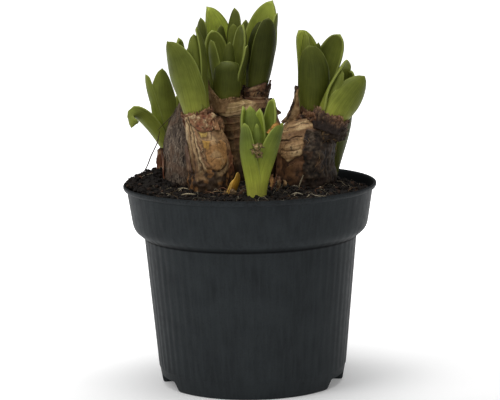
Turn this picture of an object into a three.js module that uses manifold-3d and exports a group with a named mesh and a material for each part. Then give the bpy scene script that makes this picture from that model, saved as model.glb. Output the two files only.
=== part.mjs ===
// Potted hyacinth: a nursery pot of soil, with bulbs that stand half out of it and their leafy shoots.
// Millimetres, +Z up. The origin is on the pot's axis, at the level that its feet stand on.
// The side that is seen first faces -Y.
import * as THREE from "three";
import { mergeVertices } from "three/addons/utils/BufferGeometryUtils.js";
import Module from "manifold-3d";

const wasm = await Module();
wasm.setup();

const DEG = Math.PI / 180;
const TAU = 2 * Math.PI;

// Clearance between pieces that touch on the real plant.
const GAP = 0.3;

// The height from which neighbouring bulbs no longer press each other flat.
const PART_HEIGHT = 126;

// The pot: a 13 cm nursery pot, given by radius and height.
const POT = {
  height: 103.5,
  rimRadius: 65,
  segments: 96,
  insideSegments: 40,
  flutes: 48,
  fluteDepth: 0.22,
  fluteFrom: 9,
  fluteTo: 101,
  floorUnder: 2.5,
  floorTop: 4.5,
  footInner: 44.8,
  notchHeight: 5,
  notchInner: 41,
  notchSpan: 32,
  notchAngles: [-159, -21, 21, 159],
  drainRadius: 4,
  drainCircle: 22,
  drainCount: 5,
  legInner: 38.5,
  legOuter: 46.2,
  legSpan: 11,
  legTop: 3,
  legAngles: [0, 180],
};

// The pot's outer outline from the foot up: radius, height.
const POT_OUTSIDE = [
  [45.2, 0],
  [46.6, 0],
  [48.5, 9.1],
  [54.6, 76],
  [59.4, 80.3],
  [60.4, 82.5],
  [63.1, 100.6],
  [64.9, 101.6],
  [65, 103.5],
];

// The pot's inner outline from the lip down to the floor.
const POT_INSIDE = [
  [63.9, 103.5],
  [62, 101],
  [59.2, 83],
  [53.6, 79],
  [46.4, 4.5],
];

// The soil fills the pot to just under the rim. It is heaped up at the left and against the right bulb,
// and has lumps all over.
const SOIL = {
  level: 100.3,
  edgeLevel: 97,
  segments: 36,
  crumb: 0.6,
  lumpHeight: 1.3,
  lumpApart: 17,
  lumpSway: [1.7, 1.1],
  lumpShift: 0.8,
  rings: [1, 0.9, 0.8, 0.68, 0.52, 0.3],
  mouthFlare: 0.5,
  heaps: [
    { x: -48, y: 10, height: 8.5, reach: 11 },
    { x: 0, y: 0, height: 4, reach: 31 },
    { x: 56, y: 22, height: -4.5, reach: 17 },
    { x: 48, y: -8, height: 5, reach: 6 },
  ],
};

// A bulb is a stack of level ellipses: height, centre, half width along X and along Y.
const BULBS = {
  bulb_left: {
    levels: [
      { z: 84, x: -29, y: 5, rx: 6, ry: 6 },
      { z: 90, x: -29, y: 5, rx: 12.5, ry: 13 },
      { z: 102, x: -29, y: 4.5, rx: 15, ry: 15 },
      { z: 114, x: -29.2, y: 4, rx: 14.8, ry: 14.5 },
      { z: 124, x: -30.6, y: 4.4, rx: 12.6, ry: 12 },
      { z: 133, x: -32.8, y: 5, rx: 8.2, ry: 8 },
      { z: 139, x: -34, y: 5, rx: 4, ry: 4.4 },
      { z: 143, x: -34.6, y: 5, rx: 1.4, ry: 1.8 },
    ],
    ridges: 7,
    relief: 0.03,
    color: 0x50413c,
  },
  bulb_front_left: {
    levels: [
      { z: 86, x: -19.5, y: -14, rx: 5, ry: 5 },
      { z: 92, x: -19.5, y: -14, rx: 10, ry: 10.8 },
      { z: 104, x: -19.5, y: -14.5, rx: 11.6, ry: 12.8 },
      { z: 116, x: -19.8, y: -14.2, rx: 11.4, ry: 12.5 },
      { z: 126, x: -20.8, y: -13.2, rx: 10.7, ry: 11.2 },
      { z: 134, x: -23.2, y: -11.4, rx: 9, ry: 9.2 },
      { z: 140, x: -25.2, y: -10, rx: 8.2, ry: 8.2 },
    ],
    ridges: 6,
    relief: 0.03,
    color: 0x9a7650,
  },
  bulb_centre: {
    levels: [
      { z: 84, x: -1, y: 12, rx: 8, ry: 8 },
      { z: 92, x: -1, y: 12, rx: 15, ry: 14 },
      { z: 106, x: -1, y: 11, rx: 17.6, ry: 16 },
      { z: 120, x: -0.5, y: 10, rx: 17.8, ry: 15.5 },
      { z: 130, x: -0.5, y: 9, rx: 17.4, ry: 14.6 },
      { z: 138, x: -2.6, y: 6.2, rx: 16, ry: 13.2 },
      { z: 144.5, x: -4, y: 5, rx: 14.4, ry: 11.4 },
    ],
    ridges: 7,
    relief: 0.02,
    color: 0x8a6a48,
  },
  bulb_right: {
    levels: [
      { z: 84, x: 29.5, y: -2, rx: 8, ry: 8 },
      { z: 92, x: 29.5, y: -2, rx: 13.5, ry: 14 },
      { z: 104, x: 29.1, y: -2, rx: 15.7, ry: 17 },
      { z: 116, x: 28.8, y: -2, rx: 15, ry: 16.6 },
      { z: 125, x: 29.8, y: -2, rx: 14.6, ry: 15 },
      { z: 131, x: 32.4, y: -2, rx: 15.6, ry: 12.4 },
      { z: 135.5, x: 34, y: -2, rx: 13.4, ry: 9.4 },
    ],
    ridges: 6,
    relief: 0.03,
    color: 0x7a5e44,
  },
  bulb_back: {
    levels: [
      { z: 84, x: -12, y: 37, rx: 7, ry: 7 },
      { z: 92, x: -12, y: 37, rx: 13, ry: 12 },
      { z: 106, x: -12, y: 36, rx: 16, ry: 14 },
      { z: 120, x: -12, y: 36, rx: 16, ry: 13 },
      { z: 130, x: -12, y: 34.8, rx: 14.8, ry: 11.2 },
      { z: 137, x: -11.5, y: 31.4, rx: 13.4, ry: 8.6 },
    ],
    ridges: 6,
    relief: 0.03,
    color: 0x83664a,
  },
  bulb_back_left: {
    levels: [
      { z: 88, x: -35, y: 29, rx: 4, ry: 4 },
      { z: 93, x: -35, y: 29, rx: 8.5, ry: 8.5 },
      { z: 102, x: -35, y: 28.5, rx: 9.6, ry: 10 },
      { z: 109, x: -35.6, y: 27.5, rx: 8.2, ry: 8.4 },
      { z: 113, x: -36.6, y: 26, rx: 6.4, ry: 6.6 },
    ],
    ridges: 5,
    relief: 0.03,
    color: 0x6b5340,
  },
};

// A shoot stands at a point in its bulb's neck or in the soil, and leans by so much for each millimetre up.
// Its stem rises so far above that point inside the leaves. A leaf is given by where its tip is, where its
// back faces (degrees from +X), how wide the blade is, how far it bows towards its back, how far out its
// foot stands on the shoot (ring) and how far it clasps round there (clasp, degrees either way). A leaf that
// sweeps sideways or arches over is drawn towards a point beside or over it. A smaller point makes a blunter
// tip, and a larger hood bends it further inwards.
const SHOOTS = {
  shoot_left: {
    at: [-38, 24, 112],
    lean: [-0.26, -0.26],
    radius: 4.4,
    sunk: 7,
    rise: 8,
    leaves: [
      { tip: [-43.6, 11, 161], face: 285, width: 16, bow: 3, ring: 1, clasp: 75 },
      { tip: [-54, 14, 158.2], face: 210, width: 9, bow: 1.5, ring: 1, clasp: 50 },
      {
        tip: [-61, 3, 132], face: 235, width: 10, bow: 0, ring: 1, clasp: 60,
        towards: [-61, 6, 151], rows: 7,
      },
      { tip: [-36, 21, 147], face: 350, width: 8, bow: 1.5, ring: 1, clasp: 50, rows: 4 },
      { tip: [-44, 28, 155], face: 95, width: 11, bow: 2, ring: 1, clasp: 70, rows: 4 },
    ],
    color: 0x66782c,
  },
  shoot_front_left: {
    at: [-25.6, -10, 139],
    lean: [-0.28, 0],
    radius: 6.6,
    sunk: 6,
    rise: 8,
    leaves: [
      {
        tip: [-41, -14, 177], face: 238, width: 18, bow: 0, ring: 1, clasp: 80,
        towards: [-32.6, -15.5, 165], point: 0.75,
      },
      { tip: [-26.6, -9, 181], face: 290, width: 9.5, bow: 2, ring: 0.75, clasp: 45 },
      { tip: [-24.4, -7, 184.8], face: 350, width: 9.5, bow: 3, ring: 1, clasp: 60 },
      { tip: [-36, -4, 178.8], face: 150, width: 10, bow: 2, ring: 0.9, clasp: 45 },
      { tip: [-27, 0, 176], face: 80, width: 13, bow: 2, ring: 1, clasp: 60, rows: 4 },
    ],
    color: 0x5f7230,
  },
  shoot_centre: {
    at: [-11, 2, 145],
    lean: [-0.05, 0],
    radius: 6.6,
    sunk: 4,
    rise: 8,
    leaves: [
      { tip: [-11, -4.6, 167], face: 270, width: 15.5, bow: 1.5, ring: 1, clasp: 80, point: 0.17, hood: 3 },
      { tip: [-19.6, 0.6, 176.8], face: 226, width: 7.5, bow: 0.5, ring: 0.88, clasp: 45 },
      { tip: [-8.8, 0, 175.6], face: 280, width: 7, bow: 0.5, ring: 0.4, clasp: 40, rows: 4 },
      { tip: [1.4, -1, 173.8], face: 352, width: 9, bow: 1, ring: 0.95, clasp: 45 },
      { tip: [-0.8, 6, 184.4], face: 25, width: 14, bow: 1.5, ring: 1, clasp: 50 },
      { tip: [-18.6, 9.5, 181.4], face: 115, width: 14, bow: 1.5, ring: 1, clasp: 60 },
    ],
    color: 0x55692c,
  },
  shoot_back_left: {
    at: [-18, 29.5, 139],
    lean: [0, -0.1],
    radius: 5.8,
    sunk: 8,
    rise: 10,
    leaves: [
      {
        tip: [-22, 30, 191.8], face: 110, width: 17, bow: 0, ring: 1, clasp: 75,
        towards: [-11, 39, 176.4],
      },
      { tip: [-25, 20, 187], face: 215, width: 11, bow: 2, ring: 1, clasp: 50 },
      { tip: [-12.8, 21, 183], face: 300, width: 7.5, bow: 1.5, ring: 1, clasp: 50, rows: 4 },
      { tip: [-15, 38, 178], face: 75, width: 11, bow: 1, ring: 1, clasp: 40, rows: 4 },
    ],
    color: 0x687a2e,
  },
  shoot_back: {
    at: [-4.5, 31, 139],
    lean: [0, -0.1],
    radius: 5.6,
    sunk: 8,
    rise: 10,
    leaves: [
      { tip: [-7.4, 25, 191.6], face: 215, width: 13, bow: 2.5, ring: 1, clasp: 60 },
      { tip: [-7, 21, 183.4], face: 275, width: 9.5, bow: 2, ring: 0.9, clasp: 50 },
      { tip: [0.4, 24, 185.4], face: 320, width: 10, bow: 2, ring: 1, clasp: 50 },
      { tip: [-1, 36, 183], face: 75, width: 12, bow: 2, ring: 1, clasp: 60, rows: 4 },
    ],
    color: 0x61742d,
  },
  shoot_centre_right: {
    at: [3.4, 8.2, 147],
    lean: [0.12, 0],
    radius: 5.5,
    sunk: 8,
    rise: 9,
    leaves: [
      {
        tip: [13.8, 14, 195.6], face: 72, width: 18, bow: 0, ring: 1, clasp: 75,
        towards: [6.8, 16, 182], point: 0.8,
      },
      { tip: [11.4, 3, 187.6], face: 288, width: 13, bow: 2, ring: 1, clasp: 75 },
      { tip: [7, 4, 186], face: 235, width: 13, bow: 0, ring: 0.9, clasp: 55, towards: [2.6, 2.5, 175] },
      { tip: [17, 9, 189.2], face: 350, width: 10, bow: 0.5, ring: 0.82, clasp: 42 },
    ],
    color: 0x4d5f28,
  },
  shoot_right: {
    at: [31.6, 1.6, 134],
    lean: [0.06, 0],
    radius: 5.7,
    sunk: 8,
    rise: 8,
    leaves: [
      {
        tip: [30.6, -7.5, 173.8], face: 270, width: 16.5, bow: 0, ring: 1, clasp: 82,
        towards: [36, -9.5, 160], point: 0.5,
      },
      {
        tip: [25.6, 4, 180.8], face: 112, width: 13.6, bow: 0, ring: 0.9, clasp: 60,
        towards: [33.4, 7, 168],
      },
      { tip: [28.4, 1, 180], face: 215, width: 8.5, bow: 0.5, ring: 0.8, clasp: 40 },
      { tip: [37, 3, 174.5], face: 300, width: 7, bow: 1, ring: 0.4, clasp: 40, rows: 4 },
      { tip: [48.2, 6, 178.2], face: 60, width: 15.5, bow: 0, ring: 1, clasp: 60, towards: [42.6, 9, 165] },
      { tip: [33, 11, 172], face: 95, width: 11, bow: 2, ring: 1, clasp: 40, rows: 4 },
    ],
    color: 0x54682c,
  },
  shoot_far_right: {
    at: [40.8, -9, 135],
    lean: [0.32, 0.06],
    radius: 7.4,
    sunk: 6,
    rise: 7,
    leaves: [
      { tip: [59.8, -7.5, 158], face: 292, width: 16, bow: 1, ring: 1, clasp: 76, rows: 7 },
      { tip: [49.6, 0, 166], face: 150, width: 15.5, bow: 0, ring: 1, clasp: 85, towards: [44, -4, 154] },
      { tip: [46.8, -8, 161.8], face: 232, width: 8.5, bow: 0.5, ring: 0.88, clasp: 60 },
      { tip: [53.8, 1, 160], face: 50, width: 10, bow: 1.5, ring: 1, clasp: 50 },
    ],
    color: 0x71832f,
  },
  shoot_behind_right: {
    at: [40.6, 19, 100],
    lean: [0.12, 0],
    radius: 4.2,
    sunk: 9,
    rise: 9,
    leaves: [
      { tip: [54, 15, 149], face: 345, width: 12, bow: 3, ring: 1, clasp: 70 },
      { tip: [43, 25, 141], face: 110, width: 10, bow: 2, ring: 1, clasp: 60, rows: 4 },
      { tip: [40, 17, 132], face: 215, width: 8, bow: 0.5, ring: 1, clasp: 50 },
    ],
    color: 0x4c6028,
  },
  shoot_front: {
    at: [3.4, -39, 101.5],
    lean: [0.02, 0],
    radius: 4.7,
    sunk: 9,
    rise: 18,
    leaves: [
      { tip: [-3, -43, 139.2], face: 232, width: 10.6, bow: 1.6, ring: 1, clasp: 75, point: 0.5 },
      { tip: [17.4, -42, 138], face: 310, width: 12, bow: 0, ring: 1, clasp: 75, point: 0.5 },
      { tip: [0.6, -38, 147], face: 265, width: 12, bow: 1, ring: 0.5, clasp: 40, point: 0.6 },
      { tip: [-4, -36.5, 147], face: 160, width: 8, bow: 1.5, ring: 0.9, clasp: 40, rows: 4 },
      { tip: [6, -36, 145.6], face: 70, width: 8, bow: 0.5, ring: 0.8, clasp: 40, rows: 4 },
      { tip: [12.4, -36, 149.6], face: 20, width: 10, bow: 1.5, ring: 1, clasp: 50 },
      { tip: [4, -41.5, 138.4], face: 270, width: 5, bow: 0.5, ring: 0.3, clasp: 40, rows: 4 },
    ],
    color: 0x84982f,
  },
  shoot_yellow: {
    at: [-9.8, -33, 102.5],
    lean: [0.32, 0],
    radius: 2.2,
    sunk: 6,
    rise: 4,
    leaves: [
      { tip: [-4.8, -34, 113.4], face: 310, width: 4.2, bow: 0.8, ring: 1, clasp: 70, rows: 4 },
      { tip: [-6.6, -31.6, 110.4], face: 100, width: 4, bow: 0.5, ring: 1, clasp: 60, rows: 4 },
    ],
    color: 0xb49236,
  },
};

// The blade's own form. Its spine starts along the shoot and ends at the tip, bent by two handles (near and
// far, as shares of its length). It opens from the clasp to its cup, narrows from tipFrom on, and is divided
// into rows that crowd together towards the tip.
const BLADE = {
  thick: 1.5,
  edge: 0.8,
  footSunk: 3,
  near: 0.33,
  far: 0.68,
  bowNear: 0.2,
  bowFar: 1.6,
  cup: 50,
  openFrom: 0.08,
  openSpan: 0.5,
  tipFrom: 0.5,
  taper: 2.3,
  point: 0.66,
  slimmest: 1.3,
  hood: 1.2,
  crowding: 1.5,
  rows: 5,
  wide: 16.5,
  narrow: 8,
};

// The torn tunic that stands up round the foot of each shoot.
const COLLAR = { thick: 1, segments: 12, under: 5, highest: 16 };
const COLLARS = {
  shoot_front_left: { height: 3, ragged: 2.2, flare: 0.22, peak: 100, rise: 3 },
  shoot_centre: { height: 2.6, ragged: 0.7, flare: 0.32, peak: 192, rise: 10 },
  shoot_centre_right: { height: 4.2, ragged: 2, flare: 0.14, peak: 345, rise: 4 },
  shoot_right: { height: 6, ragged: 2, flare: 0.14, peak: 240, rise: 1.5 },
  shoot_far_right: { height: 3.2, ragged: 1.6, flare: 0.3, peak: 225, rise: 3 },
  shoot_back_left: { height: 3, ragged: 2, flare: 0.2, peak: 120, rise: 4 },
  shoot_back: { height: 3, ragged: 2, flare: 0.2, peak: 40, rise: 4 },
  shoot_left: { height: 2, ragged: 1.2, flare: 0.5, peak: 90, rise: 2 },
};

// The pointed scraps of tunic that stand up from a bulb, each drawn like a leaf that grows from a ring.
const FLAKES = {
  bulb_right: [
    {
      root: { at: [27.6, -3, 133], lean: [-0.1, 0], radius: 7.6 },
      leaf: { tip: [24.6, -5, 152.6], face: 215, width: 11, bow: 1, ring: 1, clasp: 42, point: 1.2 },
    },
  ],
};

// Which shoots grow from which bulb.
const NECKS = {
  bulb_front_left: ["shoot_front_left"],
  bulb_centre: ["shoot_centre", "shoot_centre_right"],
  bulb_right: ["shoot_right", "shoot_far_right"],
  bulb_back: ["shoot_back_left", "shoot_back"],
  bulb_back_left: ["shoot_left"],
};

const vec = (x, y, z) => new THREE.Vector3(x, y, z);

function smooth(t) {
  const s = Math.min(1, Math.max(0, t));
  return s * s * (3 - 2 * s);
}

// A repeatable draw between 0 and 1 for each whole number.
function draw(n) {
  const s = Math.sin(n * 127.1 + 311.7) * 43758.5453;
  return s - Math.floor(s);
}

// A smooth course through evenly spaced values, read at t from 0 to 1.
function through(values, t) {
  const last = values.length - 1;
  const i = Math.min(last - 1, Math.floor(t * last));
  const s = t * last - i;
  const [b, c] = [values[i], values[i + 1]];
  const a = values[Math.max(0, i - 1)];
  const d = values[Math.min(last, i + 2)];
  const bend = (2 * a - 5 * b + 4 * c - d) * s * s + (3 * b - a - 3 * c + d) * s * s * s;
  return b + 0.5 * ((c - a) * s + bend);
}

function geometryOf(points, triangles) {
  const geometry = new THREE.BufferGeometry();
  geometry.setFromPoints(points);
  geometry.setIndex(triangles);
  return geometry;
}

// A closed surface through rings of points that all run the same way round, each end closed by a fan.
function loft(rings) {
  const size = rings[0].length;
  const points = rings.flat();
  const triangles = [];
  for (let i = 0; i + 1 < rings.length; i++)
    for (let j = 0; j < size; j++) {
      const k = (j + 1) % size;
      const [a, b] = [i * size + j, i * size + k];
      triangles.push(a, b, b + size, a, b + size, a + size);
    }
  for (const [ring, flip] of [[0, true], [rings.length - 1, false]]) {
    const centre = rings[ring].reduce((sum, p) => sum.add(p), vec(0, 0, 0)).divideScalar(size);
    const hub = points.push(centre) - 1;
    for (let j = 0; j < size; j++) {
      const a = ring * size + j;
      const b = ring * size + ((j + 1) % size);
      triangles.push(...(flip ? [hub, b, a] : [hub, a, b]));
    }
  }
  return geometryOf(points, triangles);
}

// A sheet with a back and an inner face, split into triangles alike on both, and closed along its borders.
function sheet(back, inner) {
  const rows = back.length;
  const columns = back[0].length;
  const points = [...back.flat(), ...inner.flat()];
  const half = rows * columns;
  const triangles = [];
  for (let i = 0; i + 1 < rows; i++)
    for (let j = 0; j + 1 < columns; j++) {
      const a = i * columns + j;
      const [b, c, d] = [a + 1, a + 1 + columns, a + columns];
      triangles.push(a, b, c, a, c, d);
      triangles.push(half + a, half + c, half + b, half + a, half + d, half + c);
    }
  const border = (a, b) => triangles.push(a, half + a, half + b, a, half + b, b);
  for (let j = 0; j + 1 < columns; j++) {
    border(j, j + 1);
    border(half - columns + j + 1, half - columns + j);
  }
  for (let i = 0; i + 1 < rows; i++) {
    border((i + 1) * columns, i * columns);
    border((i + 1) * columns - 1, (i + 2) * columns - 1);
  }
  return geometryOf(points, triangles);
}

// A geometry as a solid, with its shared vertices merged and its collapsed triangles dropped.
function solidOf(geometry) {
  geometry.deleteAttribute("normal");
  geometry.deleteAttribute("uv");
  const merged = mergeVertices(geometry, 1e-4);
  const index = merged.index.array;
  const kept = [];
  for (let i = 0; i < index.length; i += 3) {
    const [a, b, c] = [index[i], index[i + 1], index[i + 2]];
    if (a !== b && b !== c && a !== c) kept.push(a, b, c);
  }
  const vertProperties = new Float32Array(merged.attributes.position.array);
  const triVerts = new Uint32Array(kept);
  return new wasm.Manifold(new wasm.Mesh({ numProp: 3, vertProperties, triVerts }));
}

const joined = (solids) => solids.reduce((all, next) => all.add(next));
const cut = (solid, tools) => tools.reduce((left, tool) => left.subtract(tool), solid);

// The largest body of a solid: loose scraps that a cut leaves are dropped.
function wholeBody(solid) {
  return solid.decompose().reduce((a, b) => (a.volume() > b.volume() ? a : b));
}

function meshOf(name, solid, color, roughness) {
  const { numProp, vertProperties, triVerts } = solid.getMesh();
  const position = new THREE.BufferAttribute(vertProperties, numProp);
  const geometry = new THREE.BufferGeometry().setAttribute("position", position);
  geometry.setIndex(new THREE.BufferAttribute(triVerts, 1));
  geometry.computeVertexNormals();
  const material = new THREE.MeshStandardMaterial({ color, roughness, metalness: 0 });
  const mesh = new THREE.Mesh(geometry, material);
  mesh.name = name;
  return mesh;
}

function lathe(outline, segments) {
  const points = outline.map(([r, z]) => new THREE.Vector2(r, z));
  return new THREE.LatheGeometry(points, segments).rotateX(Math.PI / 2);
}

// The radius of an outline at a height, between its two nearest points.
function radiusAt(outline, z) {
  const sorted = [...outline].sort((a, b) => a[1] - b[1]);
  const i = Math.max(1, sorted.findIndex((p) => p[1] >= z));
  const [[r0, z0], [r1, z1]] = [sorted[i - 1], sorted[i]];
  return r0 + ((r1 - r0) * (z - z0)) / (z1 - z0);
}

// The shallow upright flutes on the pot's outer wall.
function flute(geometry) {
  const position = geometry.attributes.position;
  for (let i = 0; i < position.count; i++) {
    const p = vec(0, 0, 0).fromBufferAttribute(position, i);
    const r = Math.hypot(p.x, p.y);
    if (p.z < POT.fluteFrom || p.z > POT.fluteTo) continue;
    const step = (POT.fluteDepth / r) * Math.cos(POT.flutes * Math.atan2(p.y, p.x));
    position.setXYZ(i, p.x * (1 + step), p.y * (1 + step), p.z);
  }
  return geometry;
}

// A block that runs round the axis from one radius to another. Its top is given at each share of its span.
function arcBlock(middle, span, steps, [inner, outer], bottom, topAt) {
  const rings = [];
  for (let i = 0; i <= steps; i++) {
    const angle = (middle + span * (i / steps - 0.5)) * DEG;
    const top = topAt(i / steps);
    const at = (r, z) => vec(r * Math.cos(angle), r * Math.sin(angle), z);
    rings.push([at(inner, bottom), at(inner, top), at(outer, top), at(outer, bottom)]);
  }
  return solidOf(loft(rings));
}

// A notch in the foot ring that also cuts the floor's edge back to a drain slot.
function notchTool(middle) {
  const top = (share) => POT.notchHeight * smooth(6 * Math.min(share, 1 - share) + 0.25);
  return arcBlock(middle, POT.notchSpan, 6, [POT.notchInner, POT.rimRadius], -1, top);
}

// A leg under the floor's edge, between two notches.
function leg(middle) {
  return arcBlock(middle, POT.legSpan, 2, [POT.legInner, POT.legOuter], 0, () => POT.legTop);
}

function drainTool(i) {
  const angle = (i / POT.drainCount) * TAU + 90 * DEG;
  const geometry = new THREE.CylinderGeometry(POT.drainRadius, POT.drainRadius, 12, 12);
  geometry.rotateX(Math.PI / 2);
  geometry.translate(POT.drainCircle * Math.cos(angle), POT.drainCircle * Math.sin(angle), 3);
  return solidOf(geometry);
}

function makePot() {
  const above = POT.height + 1;
  const [lip] = POT_INSIDE;
  const under = [[0, POT.floorUnder], [POT.footInner, POT.floorUnder]];
  const outside = lathe([...under, ...POT_OUTSIDE, [0, POT.height]], POT.segments);
  const walls = [...POT_INSIDE].reverse();
  const inside = lathe([[0, POT.floorTop], ...walls, [lip[0], above], [0, above]], POT.insideSegments);
  const notches = POT.notchAngles.map(notchTool);
  const drains = Array.from({ length: POT.drainCount }, (_, i) => drainTool(i));
  const shell = cut(solidOf(flute(outside)), [solidOf(inside), ...notches, ...drains]);
  return joined([shell, ...POT.legAngles.map(leg)]);
}

// The soil's lumps: rises and dips that lie so far apart, in rows that sway.
function lump(x, y) {
  const turn = TAU / SOIL.lumpApart;
  const [swayX, swayY] = SOIL.lumpSway;
  const along = turn * x + swayX * Math.sin((turn * y) / 2);
  const aside = turn * y + swayY * Math.sin((turn * x) / 2) + SOIL.lumpShift;
  return SOIL.lumpHeight * Math.sin(along) * Math.sin(aside);
}

// The height of the soil's surface, without its crumbs.
function soilHeight(x, y) {
  const heap = (h) => h.height * Math.exp(-((x - h.x) ** 2 + (y - h.y) ** 2) / (2 * h.reach ** 2));
  return SOIL.level + lump(x, y) + SOIL.heaps.reduce((sum, h) => sum + heap(h), 0);
}

function soilRing(radius, row, z) {
  return Array.from({ length: SOIL.segments }, (_, j) => {
    const angle = (j / SOIL.segments) * TAU;
    const [x, y] = [radius * Math.cos(angle), radius * Math.sin(angle)];
    const crumb = SOIL.crumb * (2 * draw(row * 131 + j) - 1);
    return vec(x, y, z ?? soilHeight(x, y) + crumb);
  });
}

// The soil follows the pot's inside up to the wall, then its surface runs in to the middle.
function makeSoil(sockets) {
  const lower = POT_INSIDE.slice(2).reverse();
  const walls = lower.map(([r, z]) => soilRing(r - GAP, 0, z + GAP));
  const edge = radiusAt(POT_INSIDE, SOIL.edgeLevel) - 2 * GAP;
  const top = SOIL.rings.map((share, row) => soilRing(edge * share, row + 1));
  return wholeBody(cut(solidOf(loft([...walls, ...top])), sockets));
}

// The flats where bulbs are pressed against their neighbours: a vertical plane between each two.
function flatsOf(name) {
  const widest = (bulb) => bulb.levels[2];
  const own = widest(BULBS[name]);
  const flats = [];
  for (const [other, bulb] of Object.entries(BULBS)) {
    if (other === name) continue;
    const near = widest(bulb);
    const away = new THREE.Vector2(near.x - own.x, near.y - own.y);
    const apart = away.length();
    const reach = (apart ** 2 + own.rx ** 2 - near.rx ** 2) / (2 * apart) - GAP / 2;
    flats.push({ normal: away.divideScalar(apart), from: own, reach });
  }
  return flats;
}

// Keeps a point of a bulb behind the flats, by moving it straight back from them.
// The flats give way above the height where the bulbs part.
function press(point, flats, grow) {
  const free = Math.max(0, point.z - PART_HEIGHT);
  for (const { normal, from, reach } of flats) {
    const ahead = (point.x - from.x) * normal.x + (point.y - from.y) * normal.y;
    const over = ahead - reach - grow - free;
    if (over <= 0) continue;
    point.x -= over * normal.x;
    point.y -= over * normal.y;
  }
  return point;
}

// A bulb's body: ridged level rings, grown by so much all round.
function bulbBody(name, grow) {
  const { levels, ridges, relief } = BULBS[name];
  const [rows, segments] = [levels.length - 1, 16];
  const flats = flatsOf(name);
  const at = (key, t) => through(levels.map((level) => level[key]), t);
  const rings = [];
  for (let i = 0; i <= rows; i++) {
    const t = i / rows;
    const end = i === 0 ? -grow : i === rows ? grow : 0;
    rings.push(
      Array.from({ length: segments }, (_, j) => {
        const angle = (j / segments) * TAU;
        const lump = 1 + relief * Math.sin(ridges * angle + 5 * t) * smooth(3 * t);
        const x = at("x", t) + (at("rx", t) * lump + grow) * Math.cos(angle);
        const y = at("y", t) + (at("ry", t) * lump + grow) * Math.sin(angle);
        return press(vec(x, y, at("z", t) + end), flats, grow);
      }),
    );
  }
  return solidOf(loft(rings));
}

const axisOf = (shoot) => vec(shoot.lean[0], shoot.lean[1], 1).normalize();

// Turns a geometry that stands on +Z so that it stands in the shoot's place.
function standIn(geometry, shoot) {
  const turn = new THREE.Quaternion().setFromUnitVectors(vec(0, 0, 1), axisOf(shoot));
  return geometry.applyQuaternion(turn).translate(...shoot.at);
}

// The shoot's solid foot, which its leaves grow from, lies so far inside their backs.
const STEM_INSET = 0.7;

function stem(shoot) {
  const r = shoot.radius - STEM_INSET;
  const { sunk, rise } = shoot;
  const outline = [[0, -sunk], [r, -sunk], [r, 0.4 * rise], [0.6 * r, 0.9 * rise], [0, rise]];
  return solidOf(standIn(lathe(outline, 8), shoot));
}

// The plain hole that a shoot stands in, with a mouth that widens by the flare.
function holeTool(shoot, flare) {
  const segments = 12;
  const wide = 1 / Math.cos(Math.PI / segments);
  const narrow = (shoot.radius - STEM_INSET + GAP) * wide;
  const mouth = (shoot.radius + 2 * GAP) * wide;
  const [low, step, high] = [-shoot.sunk - GAP, -BLADE.footSunk - GAP, COLLAR.highest];
  const outline = [[0, low], [narrow, low], [narrow, step], [mouth, step], [mouth, 0]];
  outline.push([mouth + flare * high, high], [0, high]);
  return solidOf(standIn(lathe(outline, segments), shoot));
}

// The spine of a leaf, how its back faces and its foot's radius. It leaves the shoot along the shoot's axis.
function leafForm(shoot, leaf) {
  const axis = axisOf(shoot);
  const ring = shoot.radius * leaf.ring;
  const out = vec(Math.cos(leaf.face * DEG), Math.sin(leaf.face * DEG), 0);
  const side = out.clone().addScaledVector(axis, -out.dot(axis)).normalize();
  const foot = vec(...shoot.at).addScaledVector(side, ring).addScaledVector(axis, -BLADE.footSunk);
  const tip = vec(...leaf.tip);
  const chord = tip.clone().sub(foot);
  const bulge = out.clone().addScaledVector(chord, -out.dot(chord) / chord.lengthSq()).normalize();
  const near = foot.clone().addScaledVector(axis, BLADE.near * chord.length());
  near.addScaledVector(bulge, leaf.bow * BLADE.bowNear);
  const far = foot.clone().addScaledVector(chord, BLADE.far);
  far.addScaledVector(bulge, leaf.bow * BLADE.bowFar);
  if (leaf.towards) far.set(...leaf.towards);
  return { spine: new THREE.CubicBezierCurve3(foot, near, far, tip), out, ring };
}

// One row of a blade: an arc about the spine's inner side, wide at mid length and closing to the tip.
function bladeRow(form, leaf, u) {
  const columns = leaf.width > BLADE.wide ? 4 : leaf.width > BLADE.narrow ? 3 : 2;
  const point = form.spine.getPoint(u);
  const tangent = form.spine.getTangent(u);
  const normal = form.out.clone().addScaledVector(tangent, -form.out.dot(tangent)).normalize();
  const side = tangent.clone().cross(normal);
  const opening = smooth((u - BLADE.openFrom) / BLADE.openSpan);
  const cup = (leaf.clasp * (1 - opening) + BLADE.cup * opening) * DEG;
  const open = leaf.width / 2 / Math.sin(BLADE.cup * DEG);
  const s = Math.max(0, (u - BLADE.tipFrom) / (1 - BLADE.tipFrom));
  const taper = (1 - s ** BLADE.taper) ** (leaf.point ?? BLADE.point);
  const radius = Math.max(BLADE.slimmest, (form.ring * (1 - opening) + open * opening) * taper);
  point.addScaledVector(normal, -(leaf.hood ?? BLADE.hood) * s ** 4);
  const [back, inner] = [[], []];
  for (let j = 0; j <= columns; j++) {
    const share = (2 * j) / columns - 1;
    const thick = Math.min(BLADE.thick + (BLADE.edge - BLADE.thick) * share ** 2, 0.75 * radius);
    const place = (r) => {
      const across = side.clone().multiplyScalar(r * Math.sin(share * cup));
      return point.clone().add(across).addScaledVector(normal, r * Math.cos(share * cup) - radius);
    };
    back.push(place(radius));
    inner.push(place(radius - thick));
  }
  return { back, inner };
}

function blade(shoot, leaf) {
  const form = leafForm(shoot, leaf);
  const count = leaf.rows ?? BLADE.rows;
  const rows = Array.from({ length: count + 1 }, (_, i) => {
    const u = 1 - (1 - i / count) ** BLADE.crowding;
    return bladeRow(form, leaf, u);
  });
  return solidOf(sheet(rows.map((row) => row.back), rows.map((row) => row.inner)));
}

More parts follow.
